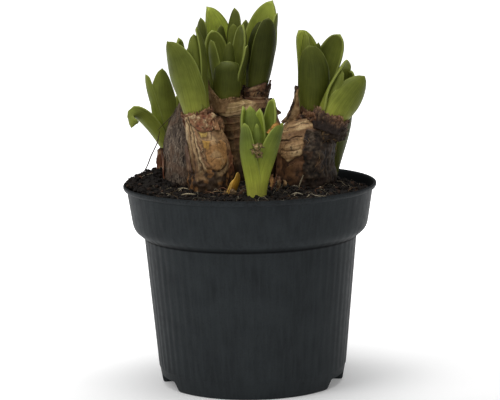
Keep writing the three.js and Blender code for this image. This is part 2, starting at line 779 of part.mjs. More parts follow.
function shootSolid(shoot) {
  return joined([stem(shoot), ...shoot.leaves.map((leaf) => blade(shoot, leaf))]);
}

// The ragged paper collar round a shoot's foot, highest at its peak. The shoot's hole goes through it.
function collar(shoot, spec) {
  const ring = (share, low) =>
    Array.from({ length: COLLAR.segments }, (_, j) => {
      const angle = (j / COLLAR.segments) * TAU;
      const swing = Math.max(0, Math.cos(angle - spec.peak * DEG)) ** 6;
      const torn = spec.height + spec.rise * swing + spec.ragged * (draw(j) - 0.5);
      const lift = low + share * (torn - low);
      const wide = shoot.radius + GAP + COLLAR.thick + spec.flare * Math.max(0, lift);
      return vec(wide * Math.cos(angle), wide * Math.sin(angle), lift);
    });
  const rings = [ring(0, -COLLAR.under), ring(0, 0), ring(1, 0)];
  return solidOf(standIn(loft(rings), shoot));
}

function makeBulb(name) {
  const necks = (NECKS[name] ?? []).map((key) => [SHOOTS[key], COLLARS[key]]);
  const flakes = (FLAKES[name] ?? []).map(({ root, leaf }) => blade(root, leaf));
  const collars = necks.map(([shoot, spec]) => collar(shoot, spec));
  const holes = necks.map(([shoot, spec]) => holeTool(shoot, spec.flare));
  return wholeBody(cut(joined([bulbBody(name, 0), ...collars, ...flakes]), holes));
}

const plant = new THREE.Group();
plant.name = "potted_hyacinth";

const inSoil = ["shoot_front", "shoot_behind_right", "shoot_yellow"];
const sockets = [
  ...Object.keys(BULBS).map((name) => bulbBody(name, GAP)),
  ...inSoil.map((name) => holeTool(SHOOTS[name], SOIL.mouthFlare)),
];

plant.add(meshOf("pot", makePot(), 0x2d3032, 0.45));
plant.add(meshOf("soil", makeSoil(sockets), 0x1e1a18, 0.95));
for (const [name, bulb] of Object.entries(BULBS))
  plant.add(meshOf(name, makeBulb(name), bulb.color, 0.75));
for (const [name, shoot] of Object.entries(SHOOTS))
  plant.add(meshOf(name, shootSolid(shoot), shoot.color, 0.5));

export default plant;
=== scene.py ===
import math
import random

import bmesh
import bpy
import numpy as np
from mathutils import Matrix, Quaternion, Vector


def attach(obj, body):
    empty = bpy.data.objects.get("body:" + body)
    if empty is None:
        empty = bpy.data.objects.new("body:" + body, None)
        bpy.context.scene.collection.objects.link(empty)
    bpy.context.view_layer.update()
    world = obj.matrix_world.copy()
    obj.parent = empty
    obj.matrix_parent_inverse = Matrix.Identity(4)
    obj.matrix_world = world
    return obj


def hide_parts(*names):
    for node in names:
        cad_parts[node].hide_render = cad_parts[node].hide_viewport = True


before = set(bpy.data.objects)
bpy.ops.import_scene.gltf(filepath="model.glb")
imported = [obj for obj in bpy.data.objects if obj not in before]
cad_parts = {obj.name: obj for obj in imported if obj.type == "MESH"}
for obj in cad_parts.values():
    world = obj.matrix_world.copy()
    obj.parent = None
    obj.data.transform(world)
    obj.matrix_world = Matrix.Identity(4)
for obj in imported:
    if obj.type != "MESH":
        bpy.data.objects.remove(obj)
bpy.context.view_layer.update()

# Potted hyacinth: the looks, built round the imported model.
# Sizes are in millimetres, as in the model, and turn into metres where a mesh is made. GAP is the space
# left between neighbouring pieces.
MM = 0.001
TAU = 2 * math.pi
GAP = 0.3

# How finely each kind of surface is divided, in rows and columns.
LEAF_GRID = ((38, 14))
BULB_GRID = ((120, 232))
BACK_GRID = ((80, 150))
COLLAR_GRID = ((10, 144))
SCRAP_GRID = ((16, 16))
STRIP_GRID = ((34, 12))
CLUMP_GRID = ((44, 72))
SOIL_GRID = ((100, 300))
POT_SEGMENTS = 512
STEM_SEGMENTS, DRAIN_SEGMENTS, NOTCH_STEPS, LEG_STEPS = 24, 40, 40, 12

# How many loose bits there are, how wide crumbs are, and how thin the thinnest fibres are.
CRUMBS, SPILT = 4600, 260
STRAWS = 320
COLLAR_FIBRES = 34
FIBRE_DIVISOR = 1
CRUMB_LEAST, CRUMB_MORE, CRUMB_FINE = 0.32, 0.95, 0.75
THINNEST, FIBRE_SIDES, STRAW_SIDES = 0.07, 4, 5

# The pot: its flutes, its inside wall by radius and height, its foot, its floor and its holes.
POT_FLUTES, FLUTE_DEPTH, FLUTES_FROM, FLUTES_TO = 64, 0.075, 8.8, 101
COLLAR_FROM, LIP_DUST_FROM, SHARP_ANGLE = 77, 99, 50
# Heights of the painted shade: where it ends on the inside, where it begins on the lip's top, and where the
# painted shadow under the collar begins.
INSIDE_TOP, LIP_SHADE_FROM, SHADOW_FROM = 103.6, 102.6, 75.6
POT_INSIDE = [(63.9, 103.5), (62, 101), (59.2, 83), (53.6, 79), (46.4, 4.5)]
FOOT_INNER, FLOOR_UNDER, FLOOR_TOP = 45.2, 2.5, 4.5
NOTCHES = dict(height=5, inner=41, outer=70, span=32, angles=(-159, -21, 21, 159))
LEGS = dict(inner=38.5, outer=46.2, half_angle=5.5, top=3, angles=(0, 180))
DRAINS = dict(radius=4, circle=22, count=5)

# The soil's surface, as in the model: a level, heaps by place, height and reach, and lumps.
SOIL_LEVEL, SOIL_EDGE = 100.3, 97
HEAPS = [(-48, 10, 8.5, 11), (0, 0, 4, 31), (56, 22, -4.5, 17), (48, -8, 5, 6)]
LUMP_HEIGHT, LUMP_APART = 1.3, 17
SOIL_RING_SHARES, SOIL_STEPS, SOIL_CRUMB = (1, 0.9, 0.8, 0.68, 0.52, 0.3), 36, 0.6
HEAP_LEFT_OF = -30

# Crumbs spilt up to the lip: the angle they lie round, its spread, where they begin, how far they reach
# and how high they lie, and the angle and half width of their heap.
SPILT_ANGLE, SPILT_SPREAD, SPILT_FROM, SPILT_WIDE, SPILT_LEVEL = 196, 22, 59.5, 3.8, 101.8
SPILT_HEAP, SPILT_HEAP_HALF = 190, 60


def bulb(ridges, relief, shoots, levels):
    """A bulb's ridges and how high they are, its shoots, and its outline."""
    return dict(ridges=ridges, relief=relief, shoots=shoots, levels=levels)


# A bulb is a stack of level ellipses: height, centre x and y, half width along X and along Y.
BULBS = {
    "bulb_left": bulb(7, 0.03, [], [
        (84, -29, 5, 6, 6), (90, -29, 5, 12.5, 13), (102, -29, 4.5, 15, 15), (114, -29.2, 4, 14.8, 14.5),
        (124, -30.6, 4.4, 12.6, 12), (133, -32.8, 5, 8.2, 8), (139, -34, 5, 4, 4.4),
        (143, -34.6, 5, 1.4, 1.8),
    ]),
    "bulb_front_left": bulb(6, 0.03, ["shoot_front_left"], [
        (86, -19.5, -14, 5, 5), (92, -19.5, -14, 10, 10.8), (104, -19.5, -14.5, 11.6, 12.8),
        (116, -19.8, -14.2, 11.4, 12.5), (126, -20.8, -13.2, 10.7, 11.2), (134, -23.2, -11.4, 9, 9.2),
        (140, -25.2, -10, 8.2, 8.2),
    ]),
    "bulb_centre": bulb(7, 0.02, ["shoot_centre", "shoot_centre_right"], [
        (84, -1, 12, 8, 8), (92, -1, 12, 15, 14), (106, -1, 11, 17.6, 16), (120, -0.5, 10, 17.8, 15.5),
        (130, -0.5, 9, 17.4, 14.6), (138, -2.6, 6.2, 16, 13.2), (144.5, -4, 5, 14.4, 11.4),
    ]),
    "bulb_right": bulb(6, 0.03, ["shoot_right", "shoot_far_right"], [
        (84, 29.5, -2, 8, 8), (92, 29.5, -2, 13.5, 14), (104, 29.1, -2, 15.7, 17), (116, 28.8, -2, 15, 16.6),
        (125, 29.8, -2, 14.6, 15), (131, 32.4, -2, 15.6, 12.4), (135.5, 34, -2, 13.4, 9.4),
    ]),
    "bulb_back": bulb(6, 0.03, ["shoot_back_left", "shoot_back"], [
        (84, -12, 37, 7, 7), (92, -12, 37, 13, 12), (106, -12, 36, 16, 14), (120, -12, 36, 16, 13),
        (130, -12, 34.8, 14.8, 11.2), (137, -11.5, 31.4, 13.4, 8.6),
    ]),
    "bulb_back_left": bulb(5, 0.03, ["shoot_left"], [
        (88, -35, 29, 4, 4), (93, -35, 29, 8.5, 8.5), (102, -35, 28.5, 9.6, 10), (109, -35.6, 27.5, 8.2, 8.4),
        (113, -36.6, 26, 6.4, 6.6),
    ]),
}

# Above this height the bulbs stand free of each other.
PART_HEIGHT = 126


def leaf(tip, face, width, bow, ring, clasp, **more):
    """A leaf's tip, the way its back faces, its width, bow, and how its foot stands and clasps."""
    form = dict(point=0.49, hood=1.2, towards=None, tone=None, lit=1.0)
    return dict(tip=tip, face=face, width=width, bow=bow, ring=ring, clasp=clasp, **{**form, **more})


def shoot(at, lean, radius, sunk, rise, tone, leaves):
    """A shoot's place, its lean for each millimetre up, its stem, how light it is, partly as painted shade,
    and its leaves.
    """
    return dict(at=at, lean=lean, radius=radius, sunk=sunk, rise=rise, tone=tone, leaves=leaves)


# The shoots, as in the model, each with its leaves.
# A tone sets how light a shoot's or leaf's green is: it differs at random, and the low tones of some leaves
# paint the shade they stand in. Lit paints light and shade on a leaf's inner face.
SHOOTS = {
    "shoot_left": shoot((-38, 24, 112), (-0.26, -0.26), 4.4, 7, 8, 0.8, [
        leaf((-43.8, 11, 161.4), 285, 14.6, 3, 1, 75, towards=(-45, 15, 145), point=0.72),
        leaf((-54, 14, 158.2), 210, 9, 1.5, 1, 50, towards=(-50.8, 17, 143)),
        leaf((-61, 3, 132), 235, 10, 0, 1, 60, towards=(-61, 6, 151), tone=0.9, lit=2),
        leaf((-36, 21, 147), 350, 8, 1.5, 1, 50),
        leaf((-44, 28, 155), 95, 11, 2, 1, 70),
    ]),
    "shoot_front_left": shoot((-25.6, -10, 139), (-0.28, 0), 6.6, 6, 8, 0.6, [
        leaf((-41, -14, 177.3), 238, 18, 0, 1, 80, towards=(-33.4, -15.5, 165), point=0.76),
        leaf((-26.6, -9, 181), 290, 9.5, 2, 0.75, 45),
        leaf((-24.4, -7, 184.8), 350, 9.5, 3, 1, 60, tone=0.22),
        leaf((-36, -4, 178.8), 150, 10, 2, 0.9, 45),
        leaf((-27, 0, 176), 80, 13, 2, 1, 60),
    ]),
    "shoot_centre": shoot((-11, 2, 145), (-0.05, 0), 6.6, 4, 8, 0.2, [
        leaf((-10.4, -4.6, 167), 270, 14.2, 1.5, 1, 76, point=0.17, hood=3),
        leaf((-19.6, 0.6, 176.8), 226, 7.5, 0.5, 0.88, 45, tone=0.44),
        leaf((-8.8, 0, 175.6), 280, 7, 0.5, 0.4, 40, tone=0.24),
        leaf((1.4, -1, 173.8), 352, 9, 1, 0.95, 45, lit=0.75),
        leaf((-0.8, 6, 184.4), 25, 14, 1.5, 1, 50, lit=0.5),
        leaf((-18.6, 9.5, 181.4), 115, 14, 1.5, 1, 60, lit=0.73),
    ]),
    "shoot_back_left": shoot((-18, 29.5, 139), (0, -0.1), 5.8, 8, 10, 0.56, [
        leaf((-21.6, 30, 192.2), 110, 17, 0, 1, 75, towards=(-11.6, 39, 176.4), point=0.7, lit=3.2),
        leaf((-25, 20, 187), 215, 11, 2, 1, 50, tone=0.34),
        leaf((-12.8, 21, 183), 300, 7.5, 1.5, 1, 50, tone=0.18),
        leaf((-15, 38, 178), 75, 11, 1, 1, 40),
    ]),
    "shoot_back": shoot((-4.5, 31, 139), (0, -0.1), 5.6, 8, 10, 0.4, [
        leaf((-7.4, 25, 191.6), 215, 13, 2.5, 1, 60),
        leaf((-7, 21, 183.4), 275, 9.5, 2, 0.9, 50, tone=0.6),
        leaf((0.4, 24, 185.4), 320, 10, 2, 1, 50),
        leaf((-1, 36, 183), 75, 12, 2, 1, 60),
    ]),
    "shoot_centre_right": shoot((3.4, 8.2, 147), (0.12, 0), 5.5, 8, 9, 0.0, [
        leaf((13.8, 14, 195.6), 72, 18, 0, 1, 75, towards=(6.8, 16, 182), point=0.8, lit=1.6),
        leaf((11.4, 3, 187.6), 288, 13, 2, 1, 75),
        leaf((7, 4, 186), 235, 13, 0, 0.9, 55, towards=(2.6, 2.5, 175)),
        leaf((17, 9, 189.2), 350, 10, 0.5, 0.82, 42, tone=0.35),
    ]),
    "shoot_right": shoot((31.6, 1.6, 134), (0.06, 0), 5.7, 8, 8, 0.26, [
        leaf((30.6, -7.5, 173.8), 270, 16.5, 0, 1, 82, towards=(36, -9.5, 160), point=0.5),
        leaf((25.6, 4, 180.8), 112, 13.6, 0, 0.9, 60, towards=(33.4, 7, 168), lit=1.7),
        leaf((28.4, 1, 180), 215, 8.5, 0.5, 0.8, 40, tone=0.7),
        leaf((37, 3, 174.5), 300, 7, 1, 0.4, 40),
        leaf((48.2, 6, 178.2), 60, 15.5, 0, 1, 60, towards=(42.6, 9, 165), lit=0.45),
        leaf((33, 11, 172), 95, 11, 2, 1, 40),
    ]),
    "shoot_far_right": shoot((40.8, -9, 135), (0.32, 0.06), 7.4, 6, 7, 0.58, [
        leaf((59.8, -7.5, 158), 292, 16, 1, 1, 76, point=0.68),
        leaf((49.6, 0, 166), 150, 15.5, 0, 1, 85, towards=(44, -4, 154), lit=0.7),
        leaf((46.8, -8, 161.8), 232, 8.5, 0.5, 0.88, 60),
        leaf((53.8, 1, 160), 50, 10, 1.5, 1, 50, lit=0.6),
    ]),
    "shoot_behind_right": shoot((40.6, 19, 100), (0.12, 0), 4.2, 9, 9, 0.1, [
        leaf((53.2, 15, 149), 345, 14.5, 4.2, 1, 70),
        leaf((43, 25, 141), 110, 10, 2, 1, 60),
        leaf((40, 17, 132), 215, 8, 0.5, 1, 50),
    ]),
    "shoot_front": shoot((3.4, -39, 101.5), (0.02, 0), 4.7, 9, 18, 0.8, [
        leaf((-3, -43, 139.2), 232, 9.9, 1.6, 1, 75, point=0.54),
        leaf((17.6, -42, 138.2), 310, 10.6, 0, 1, 75, towards=(11.4, -42, 127), point=0.6),
        leaf((0.6, -38, 147), 265, 12, 1, 0.5, 40, point=0.6),
        leaf((-4, -36.5, 147), 160, 8, 1.5, 0.9, 40),
        leaf((6, -36, 145.6), 70, 8, 0.5, 0.8, 40),
        leaf((13.5, -36, 150.6), 42, 11, 1, 1, 50, lit=0.6),
        leaf((4, -41.5, 138.4), 270, 5, 0.5, 0.3, 40, tone=1),
    ]),
    "shoot_yellow": shoot((-9.8, -33, 102.5), (0.32, 0), 2.2, 6, 4, 0.5, [
        leaf((-4.8, -34, 113.4), 310, 4.2, 0.8, 1, 70),
        leaf((-6.6, -31.6, 110.4), 100, 4, 0.5, 1, 60),
    ]),
}

# The blade's own form, as in the model: thickness, curve, how it opens, and how it ends.
THICK, MARGIN_THICK, FOOT_SUNK, STEM_INSET = 1.8, 1.1, 3, 0.7
NEAR, FAR, BOW_NEAR, BOW_FAR = 0.33, 0.68, 0.2, 1.6
CUP, OPEN_FROM, OPEN_SPAN = 50, 0.08, 0.5
TIP_FROM, TAPER, END_FROM, SLIMMEST, CROWDING = 0.5, 2.3, 0.95, 1.1, 1.5
TONE_SPREAD = 0.16

# The torn tunic round each shoot's foot: height, how ragged, flare, and where and how far it peaks.
COLLARS = {
    "shoot_front_left": (3, 2.2, 0.22, 100, 3),
    "shoot_centre": (2.6, 0.7, 0.32, 192, 10),
    "shoot_centre_right": (4.2, 2, 0.14, 345, 4),
    "shoot_right": (6, 2, 0.14, 240, 1.5),
    "shoot_far_right": (3.2, 1.6, 0.3, 225, 3),
    "shoot_back_left": (3, 2, 0.2, 120, 4),
    "shoot_back": (3, 2, 0.2, 40, 4),
    "shoot_left": (2, 1.2, 0.5, 90, 2),
}
COLLAR_UNDER, COLLAR_THICK = 5, 0.28


def linear(red, green, blue):
    """A screen colour from 0 to 255 as linear light."""
    def channel(value):
        v = value / 255
        return v / 12.92 if v <= 0.04045 else ((v + 0.055) / 1.055) ** 2.4
    return np.array([channel(red), channel(green), channel(blue)])


def smooth(t):
    """An even step from 0 to 1."""
    s = np.clip(t, 0, 1)
    return s * s * (3 - 2 * s)


def unit(v):
    """Vectors of length one."""
    return v / np.linalg.norm(v, axis=-1, keepdims=True)


def mix(a, b, share):
    """A colour on the way from a to b."""
    return a + (b - a) * np.asarray(share)[..., None]


def stack(*values):
    """Values side by side along a new last axis."""
    return np.stack(np.broadcast_arrays(*values), -1)


def split(points):
    """The x, y and z of points."""
    return points[..., 0], points[..., 1], points[..., 2]


def angles_round(count):
    """Even steps round a circle."""
    return np.arange(count) / count * TAU


# A turn about a slanted axis.
TURN = np.array([[0.36, 0.48, -0.8], [-0.8, 0.6, 0], [0.48, 0.64, 0.6]])


def lattice(i, j, k, seed):
    """A repeatable draw from 0 to 1 at each whole point."""
    h = (i * 73856093) ^ (j * 19349663) ^ (k * 83492791) ^ (seed * 265443576)
    h = h & 0xFFFFFFFF
    h = ((h ^ (h >> 15)) * 224682251) & 0xFFFFFFFF
    h = ((h ^ (h >> 13)) * 326648991) & 0xFFFFFFFF
    return (h ^ (h >> 16)) / 0xFFFFFFFF


def noise(points, seed=0):
    """Smooth values from -1 to 1, with lumps about one unit wide."""
    points = np.asarray(points, float)
    base = np.floor(points).astype(np.int64)
    f = points - base
    f = f * f * (3 - 2 * f)
    total = 0
    for corner in range(8):
        step = [(corner >> a) & 1 for a in range(3)]
        weight = 1
        for a in range(3):
            weight = weight * (f[..., a] if step[a] else 1 - f[..., a])
        total = total + weight * lattice(*[base[..., a] + step[a] for a in range(3)], seed)
    return 2 * total - 1


def fractal(points, octaves, seed=0, gain=0.5):
    """Noise at several sizes, each turned against the last so that no grid shows."""
    total, size = 0, 1
    points = np.asarray(points, float)
    for octave in range(octaves):
        points = points @ TURN + 0.37
        total = total + size * noise(points, seed + octave)
        size *= gain
        points = points * 2
    return total


def ridged(points, octaves, seed):
    """Values from 0 to 1 that peak along thin crooked lines."""
    return np.clip(1 - 2 * np.abs(fractal(points, octaves, seed)), 0, 1)


class Shape:
    """Points, faces and values per point, gathered patch by patch."""

    def __init__(self):
        self.points, self.faces, self.values, self.count = [], [], {}, 0

    def add(self, points, faces, **values):
        """Adds a patch. A value is given once for all of its points or for each of them."""
        points = np.asarray(points, float).reshape(-1, 3)
        for group in faces:
            self.faces.append(np.asarray(group) + self.count)
        for key, value in values.items():
            value = np.asarray(value, float)
            width = (3,) if key == "skin" else ()
            flat = value.reshape(-1, *width) if value.size > 3 else value
            self.values.setdefault(key, []).append(np.broadcast_to(flat, (len(points), *width)))
        self.points.append(points)
        self.count += len(points)


def grid_faces(rows, columns, wrap=False):
    """Quads between the points of a grid that are numbered along its rows."""
    i = np.arange(rows - 1)[:, None] * columns
    j = np.arange(columns if wrap else columns - 1)[None, :]
    k = (j + 1) % columns
    return np.stack([i + j, i + k, i + columns + k, i + columns + j], axis=-1).reshape(-1, 4)


def cap_faces(rows, columns):
    """The first and last ring of a wrapped grid as one face each."""
    first = np.arange(columns)[::-1][None, :]
    return [first, np.arange(columns)[None, :] + (rows - 1) * columns]


def closed_faces(rows, columns):
    """The faces of a wrapped grid, closed at its first and last ring."""
    return [grid_faces(rows, columns, wrap=True), *cap_faces(rows, columns)]


def face_list(groups):
    """All faces of several groups as one list."""
    return [face for group in groups for face in group.tolist()]


def put(name, data):
    """Puts an object into the scene."""
    thing = bpy.data.objects.new(name, data)
    bpy.context.scene.collection.objects.link(thing)
    return thing


def make_piece(name, shape, material, slot, nodes=()):
    """A visible piece from a shape. Each value per point becomes an attribute."""
    mesh = bpy.data.meshes.new(name)
    points = np.concatenate(shape.points) * MM
    mesh.from_pydata(points.tolist(), [], face_list(shape.faces))
    for key, parts in shape.values.items():
        data = np.concatenate(parts)
        if data.ndim == 2:
            rgba = np.ones((len(data), 4))
            rgba[:, :3] = data
            mesh.attributes.new(key, "FLOAT_COLOR", "POINT").data.foreach_set("color", rgba.ravel())
        else:
            mesh.attributes.new(key, "FLOAT", "POINT").data.foreach_set("value", data.ravel())
    mesh.polygons.foreach_set("use_smooth", [True] * len(mesh.polygons))
    mesh.materials.append(material)
    mesh.update()
    thing = put(name, mesh)
    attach(thing, "root")
    if nodes:
        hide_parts(*nodes)
    return thing


# The sockets that mix colours on a mix node: the share, both colours, and the result.
MIX_INPUTS, MIX_OUTPUT = (0, 6, 7), 2


class Nodes:
    """A material's node tree, written as short calls."""

    def __init__(self, name):
        self.material = bpy.data.materials.new(name)
        self.material.use_nodes = True
        self.tree = self.material.node_tree
        self.shader = self.tree.nodes["Principled BSDF"]

    def node(self, kind, inputs=None, **settings):
        """A new node, with its inputs set or linked by name."""
        made = self.tree.nodes.new("ShaderNode" + kind)
        for key, value in settings.items():
            setattr(made, key, value)
        for key, value in (inputs or {}).items():
            self.set(made.inputs[key], value)
        return made

    def set(self, socket, value):
        """Links a socket to another one or gives it a fixed value."""
        if isinstance(value, bpy.types.NodeSocket):
            self.tree.links.new(value, socket)
        elif socket.type == "RGBA":
            socket.default_value = (*value[:3], 1)
        else:
            socket.default_value = value

    def principled(self, **inputs):
        """Sets inputs of the main shader, with _ for each space in their names."""
        for key, value in inputs.items():
            self.set(self.shader.inputs[key.replace("_", " ")], value)

    def value(self, key):
        """A number that each point of the mesh carries."""
        return self.node("Attribute", attribute_name=key).outputs["Fac"]

    def colour(self, key):
        """A colour that each point of the mesh carries."""
        return self.node("Attribute", attribute_name=key).outputs["Color"]

    def math(self, operation, *values):
        made = self.node("Math", operation=operation)
        for socket, value in zip(made.inputs, values):
            self.set(socket, value)
        return made.outputs[0]

    def blend(self, share, a, b, mode="MIX"):
        made = self.node("Mix", data_type="RGBA", blend_type=mode)
        for number, value in zip(MIX_INPUTS, (share, a, b)):
            self.set(made.inputs[number], value)
        return made.outputs[MIX_OUTPUT]

    def span(self, value, low, high, to_low=0.0, to_high=1.0):
        """A value from low to high, brought to another range and kept in it."""
        made = self.node("MapRange", {"From Min": low, "From Max": high, "To Min": to_low, "To Max": to_high})
        self.set(made.inputs["Value"], value)
        return made.outputs["Result"]

    def place(self, stretch):
        """The point on the object in millimetres, stretched along each axis."""
        at = self.node("TexCoord").outputs["Object"]
        scale = tuple(1 / (MM * s) for s in stretch)
        return self.node("Mapping", {"Vector": at, "Scale": scale}).outputs["Vector"]

    def grain(self, size, detail, stretch=(1, 1, 1), roughness=0.55, at=None):
        """Noise from 0 to 1 with lumps of so many millimetres."""
        at = at or self.place(stretch)
        inputs = {"Vector": at, "Scale": 1 / size, "Detail": detail, "Roughness": roughness}
        return self.node("TexNoise", inputs).outputs["Fac"]

    def bump(self, height, distance, strength, normal=None):
        """Relief of so many millimetres, laid over another relief where one is given."""
        inputs = {"Height": height, "Distance": distance * MM, "Strength": strength}
        if normal:
            inputs["Normal"] = normal
        return self.node("Bump", inputs).outputs["Normal"]

    def product(self, a, b):
        return self.math("MULTIPLY", a, b)

    def times(self, colour, other):
        """A colour multiplied by another."""
        return self.blend(1.0, colour, other, "MULTIPLY")

    def scaled(self, colour, value):
        """A colour made lighter or darker by a value."""
        grey = self.node("CombineColor", {"Red": value, "Green": value, "Blue": value}).outputs["Color"]
        return self.times(colour, grey)

    def ramp(self, value, stops):
        """The colour for a value, between stops."""
        made = self.node("ValToRGB", {"Fac": value})
        ramp = made.color_ramp
        while len(ramp.elements) < len(stops):
            ramp.elements.new(0.5)
        for element, (at, colour) in zip(ramp.elements, stops):
            element.position = at
            element.color = (*colour, 1)
        return made.outputs["Color"]


def leaf_material(name, stops, inner, rim, sheen):
    """A fleshy leaf: paler at its foot, inside and along its rim, finely streaked."""
    n = Nodes(name)
    along, across, tone = n.value("along"), n.value("across"), n.value("tone")
    stretched = {"X": (across, 9.0), "Y": (along, 1.6), "Z": (tone, 40.0)}
    streak_at = n.node("CombineXYZ", {key: n.product(*pair) for key, pair in stretched.items()})
    streaks = n.grain(1 / 2.2, 4, roughness=0.6, at=streak_at.outputs[0])
    blotches = n.grain(6, 3)
    # Tone makes each leaf lighter or darker, partly as painted shade, and lit does so on the inner face as
    # painted light and shade.
    base = n.scaled(n.ramp(along, stops), n.span(tone, 0, 1, 0.26, 1.4))
    base = n.blend(n.product(n.value("inner"), 0.8), base, n.scaled(inner, n.value("lit")))
    base = n.scaled(base, n.span(streaks, 0.3, 0.72, 0.8, 1.26))
    base = n.scaled(base, n.span(blotches, 0.35, 0.7, 1.08, 0.84))
    margin = n.math("ABSOLUTE", across)
    base = n.blend(n.span(margin, 0.93, 1.0, 0.0, 0.6), base, rim)
    base = n.blend(n.span(along, 0.965, 1.0, 0.0, 0.55), base, rim)
    rough = n.span(blotches, 0.3, 0.7, sheen, sheen + 0.1)
    normal = n.bump(streaks, 0.3, 0.4, n.bump(n.grain(0.6, 2), 0.05, 0.2))
    n.principled(Base_Color=base, Roughness=rough, Normal=normal, Specular_IOR_Level=0.13)
    n.principled(Specular_Tint=(0.85, 0.93, 0.64))
    n.principled(Subsurface_Weight=0.06, Subsurface_Radius=(0.6, 1.0, 0.2), Subsurface_Scale=0.8 * MM)
    return n.material


def tunic_material(name, fibre, bump, rough):
    """Dry skin whose colour comes from each point, with fine fibres and pits over it."""
    n = Nodes(name)
    skin = n.colour("skin")
    fibres = n.grain(0.55, 4, fibre, 0.65)
    pits = n.grain(1.3, 5)
    light, dark = n.times(skin, (1.35, 1.32, 1.28)), n.times(skin, (0.5, 0.46, 0.42))
    base = n.blend(n.span(fibres, 0.35, 0.68, 0.0, 0.75), light, dark)
    base = n.blend(n.span(pits, 0.52, 0.7, 0.0, 0.5), base, n.times(skin, (0.55, 0.5, 0.46)))
    rough = n.span(fibres, 0.3, 0.7, rough - 0.1, rough + 0.1)
    normal = n.bump(fibres, bump, 0.7, n.bump(pits, bump * 1.6, 0.5))
    n.principled(Base_Color=base, Roughness=rough, Normal=normal, Specular_IOR_Level=0.18)
    return n.material


def pot_material():
    """Dark plastic with pale upright streaks, soil dust on the lip, and painted shade that darkens the
    inside, the lip's top and a line under the collar.
    """
    n = Nodes("pot_plastic")
    cloud = n.grain(14, 4)
    flow = n.grain(1.6, 3, (1, 1, 30))
    dust = n.product(n.value("dirt"), n.span(n.grain(0.9, 5, roughness=0.75), 0.5, 0.7))
    base = n.blend(n.span(cloud, 0.3, 0.7), linear(40, 43, 45), linear(48, 52, 54))
    base = n.blend(n.span(flow, 0.4, 0.62, 0.0, 0.5), base, linear(51, 55, 57))
    base = n.blend(dust, base, linear(24, 19, 15))
    # Painted shade: the inside, the lip's top and a line under the collar turn nearly black.
    base = n.blend(n.value("inside"), base, linear(7, 8, 9))
    rough = n.span(n.grain(3, 4), 0.3, 0.7, 0.42, 0.54)
    rough = n.math("MAXIMUM", rough, n.product(n.value("inside"), 0.8))
    normal = n.bump(flow, 0.12, 0.4, n.bump(n.grain(0.4, 2), 0.03, 0.3))
    n.principled(Base_Color=base, Roughness=rough, Normal=normal, Specular_IOR_Level=0.04)
    return n.material


def soil_material():
    """Peat: dark clumps with brown and pale specks."""
    n = Nodes("peat")
    clumps, specks = n.grain(2.2, 5, roughness=0.7), n.grain(0.5, 3)
    base = n.blend(n.span(clumps, 0.3, 0.7), linear(8, 6, 5), linear(30, 24, 19))
    base = n.blend(n.span(n.value("tone"), 0.75, 1.0, 0.0, 0.8), base, linear(66, 47, 33))
    base = n.blend(n.span(specks, 0.66, 0.78, 0.0, 0.35), base, linear(88, 72, 56))
    normal = n.bump(clumps, 0.8, 0.8, n.bump(specks, 0.3, 0.6))
    n.principled(Base_Color=base, Roughness=0.85, Normal=normal, Specular_IOR_Level=0.2)
    return n.material


def straw_material():
    """Dry straw and bits, coloured by point."""
    n = Nodes("straw")
    skin = n.colour("skin")
    base = n.blend(n.span(n.grain(0.8, 3), 0.35, 0.7), skin, n.times(skin, (0.5, 0.45, 0.4)))
    normal = n.bump(n.grain(0.3, 3), 0.08, 0.5)
    n.principled(Base_Color=base, Roughness=0.7, Normal=normal, Specular_IOR_Level=0.3)
    return n.material


def floor_material():
    """White paper that glows towards the back, as a lit backdrop does."""
    n = Nodes("floor")
    away = n.node("SeparateXYZ", {"Vector": n.node("TexCoord").outputs["Object"]}).outputs["Y"]
    n.principled(Base_Color=(0.86, 0.86, 0.86), Roughness=0.85, Specular_IOR_Level=0.1)
    n.principled(Emission_Color=(1, 1, 1), Emission_Strength=n.span(away, -0.05, 0.5, 0.12, 1.0))
    return n.material


def bezier(foot, near, far, tip, u):
    """Points and directions along a cubic curve."""
    u = u[:, None]
    v = 1 - u
    at = v ** 3 * foot + 3 * v * v * u * near + 3 * v * u * u * far + u ** 3 * tip
    along = 3 * v * v * (near - foot) + 6 * v * u * (far - near) + 3 * u * u * (tip - far)
    return at, unit(along)


def axis_of(shoot):
    """The way a shoot stands."""
    return unit(np.array([*shoot["lean"], 1.0]))


def to_shoot(points, shoot):
    """Brings points round an upright axis to a shoot's own place and lean."""
    turn = Vector((0, 0, 1)).rotation_difference(Vector(axis_of(shoot))).to_matrix()
    return points @ np.array(turn).T + np.array(shoot["at"], float)


def blade_spine(shoot, form, u):
    """The middle line of a blade, the way its back faces there, and the way across it."""
    axis = axis_of(shoot)
    face = math.radians(form["face"])
    out = np.array([math.cos(face), math.sin(face), 0.0])
    side = unit(out - axis * (out @ axis))
    foot = np.array(shoot["at"], float) + side * shoot["radius"] * form["ring"] - axis * FOOT_SUNK
    tip = np.array(form["tip"], float)
    chord = tip - foot
    bulge = unit(out - chord * (out @ chord) / (chord @ chord))
    near = foot + axis * NEAR * np.linalg.norm(chord) + bulge * form["bow"] * BOW_NEAR
    far = foot + chord * FAR + bulge * form["bow"] * BOW_FAR
    if form["towards"]:
        far = np.array(form["towards"], float)
    at, tangent = bezier(foot, near, far, tip, u)
    normal = unit(out - tangent * (tangent @ out)[:, None])
    return at, normal, np.cross(tangent, normal)


def blade_radius(shoot, form, u, opening, seed):
    """How wide the curl of a blade is, from the shoot's own radius at its foot to its tip."""
    wide = form["width"] / 2 / math.sin(math.radians(CUP))
    s = np.clip((u - TIP_FROM) / (1 - TIP_FROM), 0, 1)
    taper = (1 - s ** TAPER) ** form["point"]
    radius = (shoot["radius"] * form["ring"] * (1 - opening) + wide * opening) * taper
    radius = np.maximum(SLIMMEST, radius * (1 + 0.025 * noise(stack(u * 4, seed, 0))))
    end = np.clip((u - END_FROM) / (1 - END_FROM), 0, 1)
    return radius * np.sqrt(np.maximum(0.02, 1 - end ** 2)), s


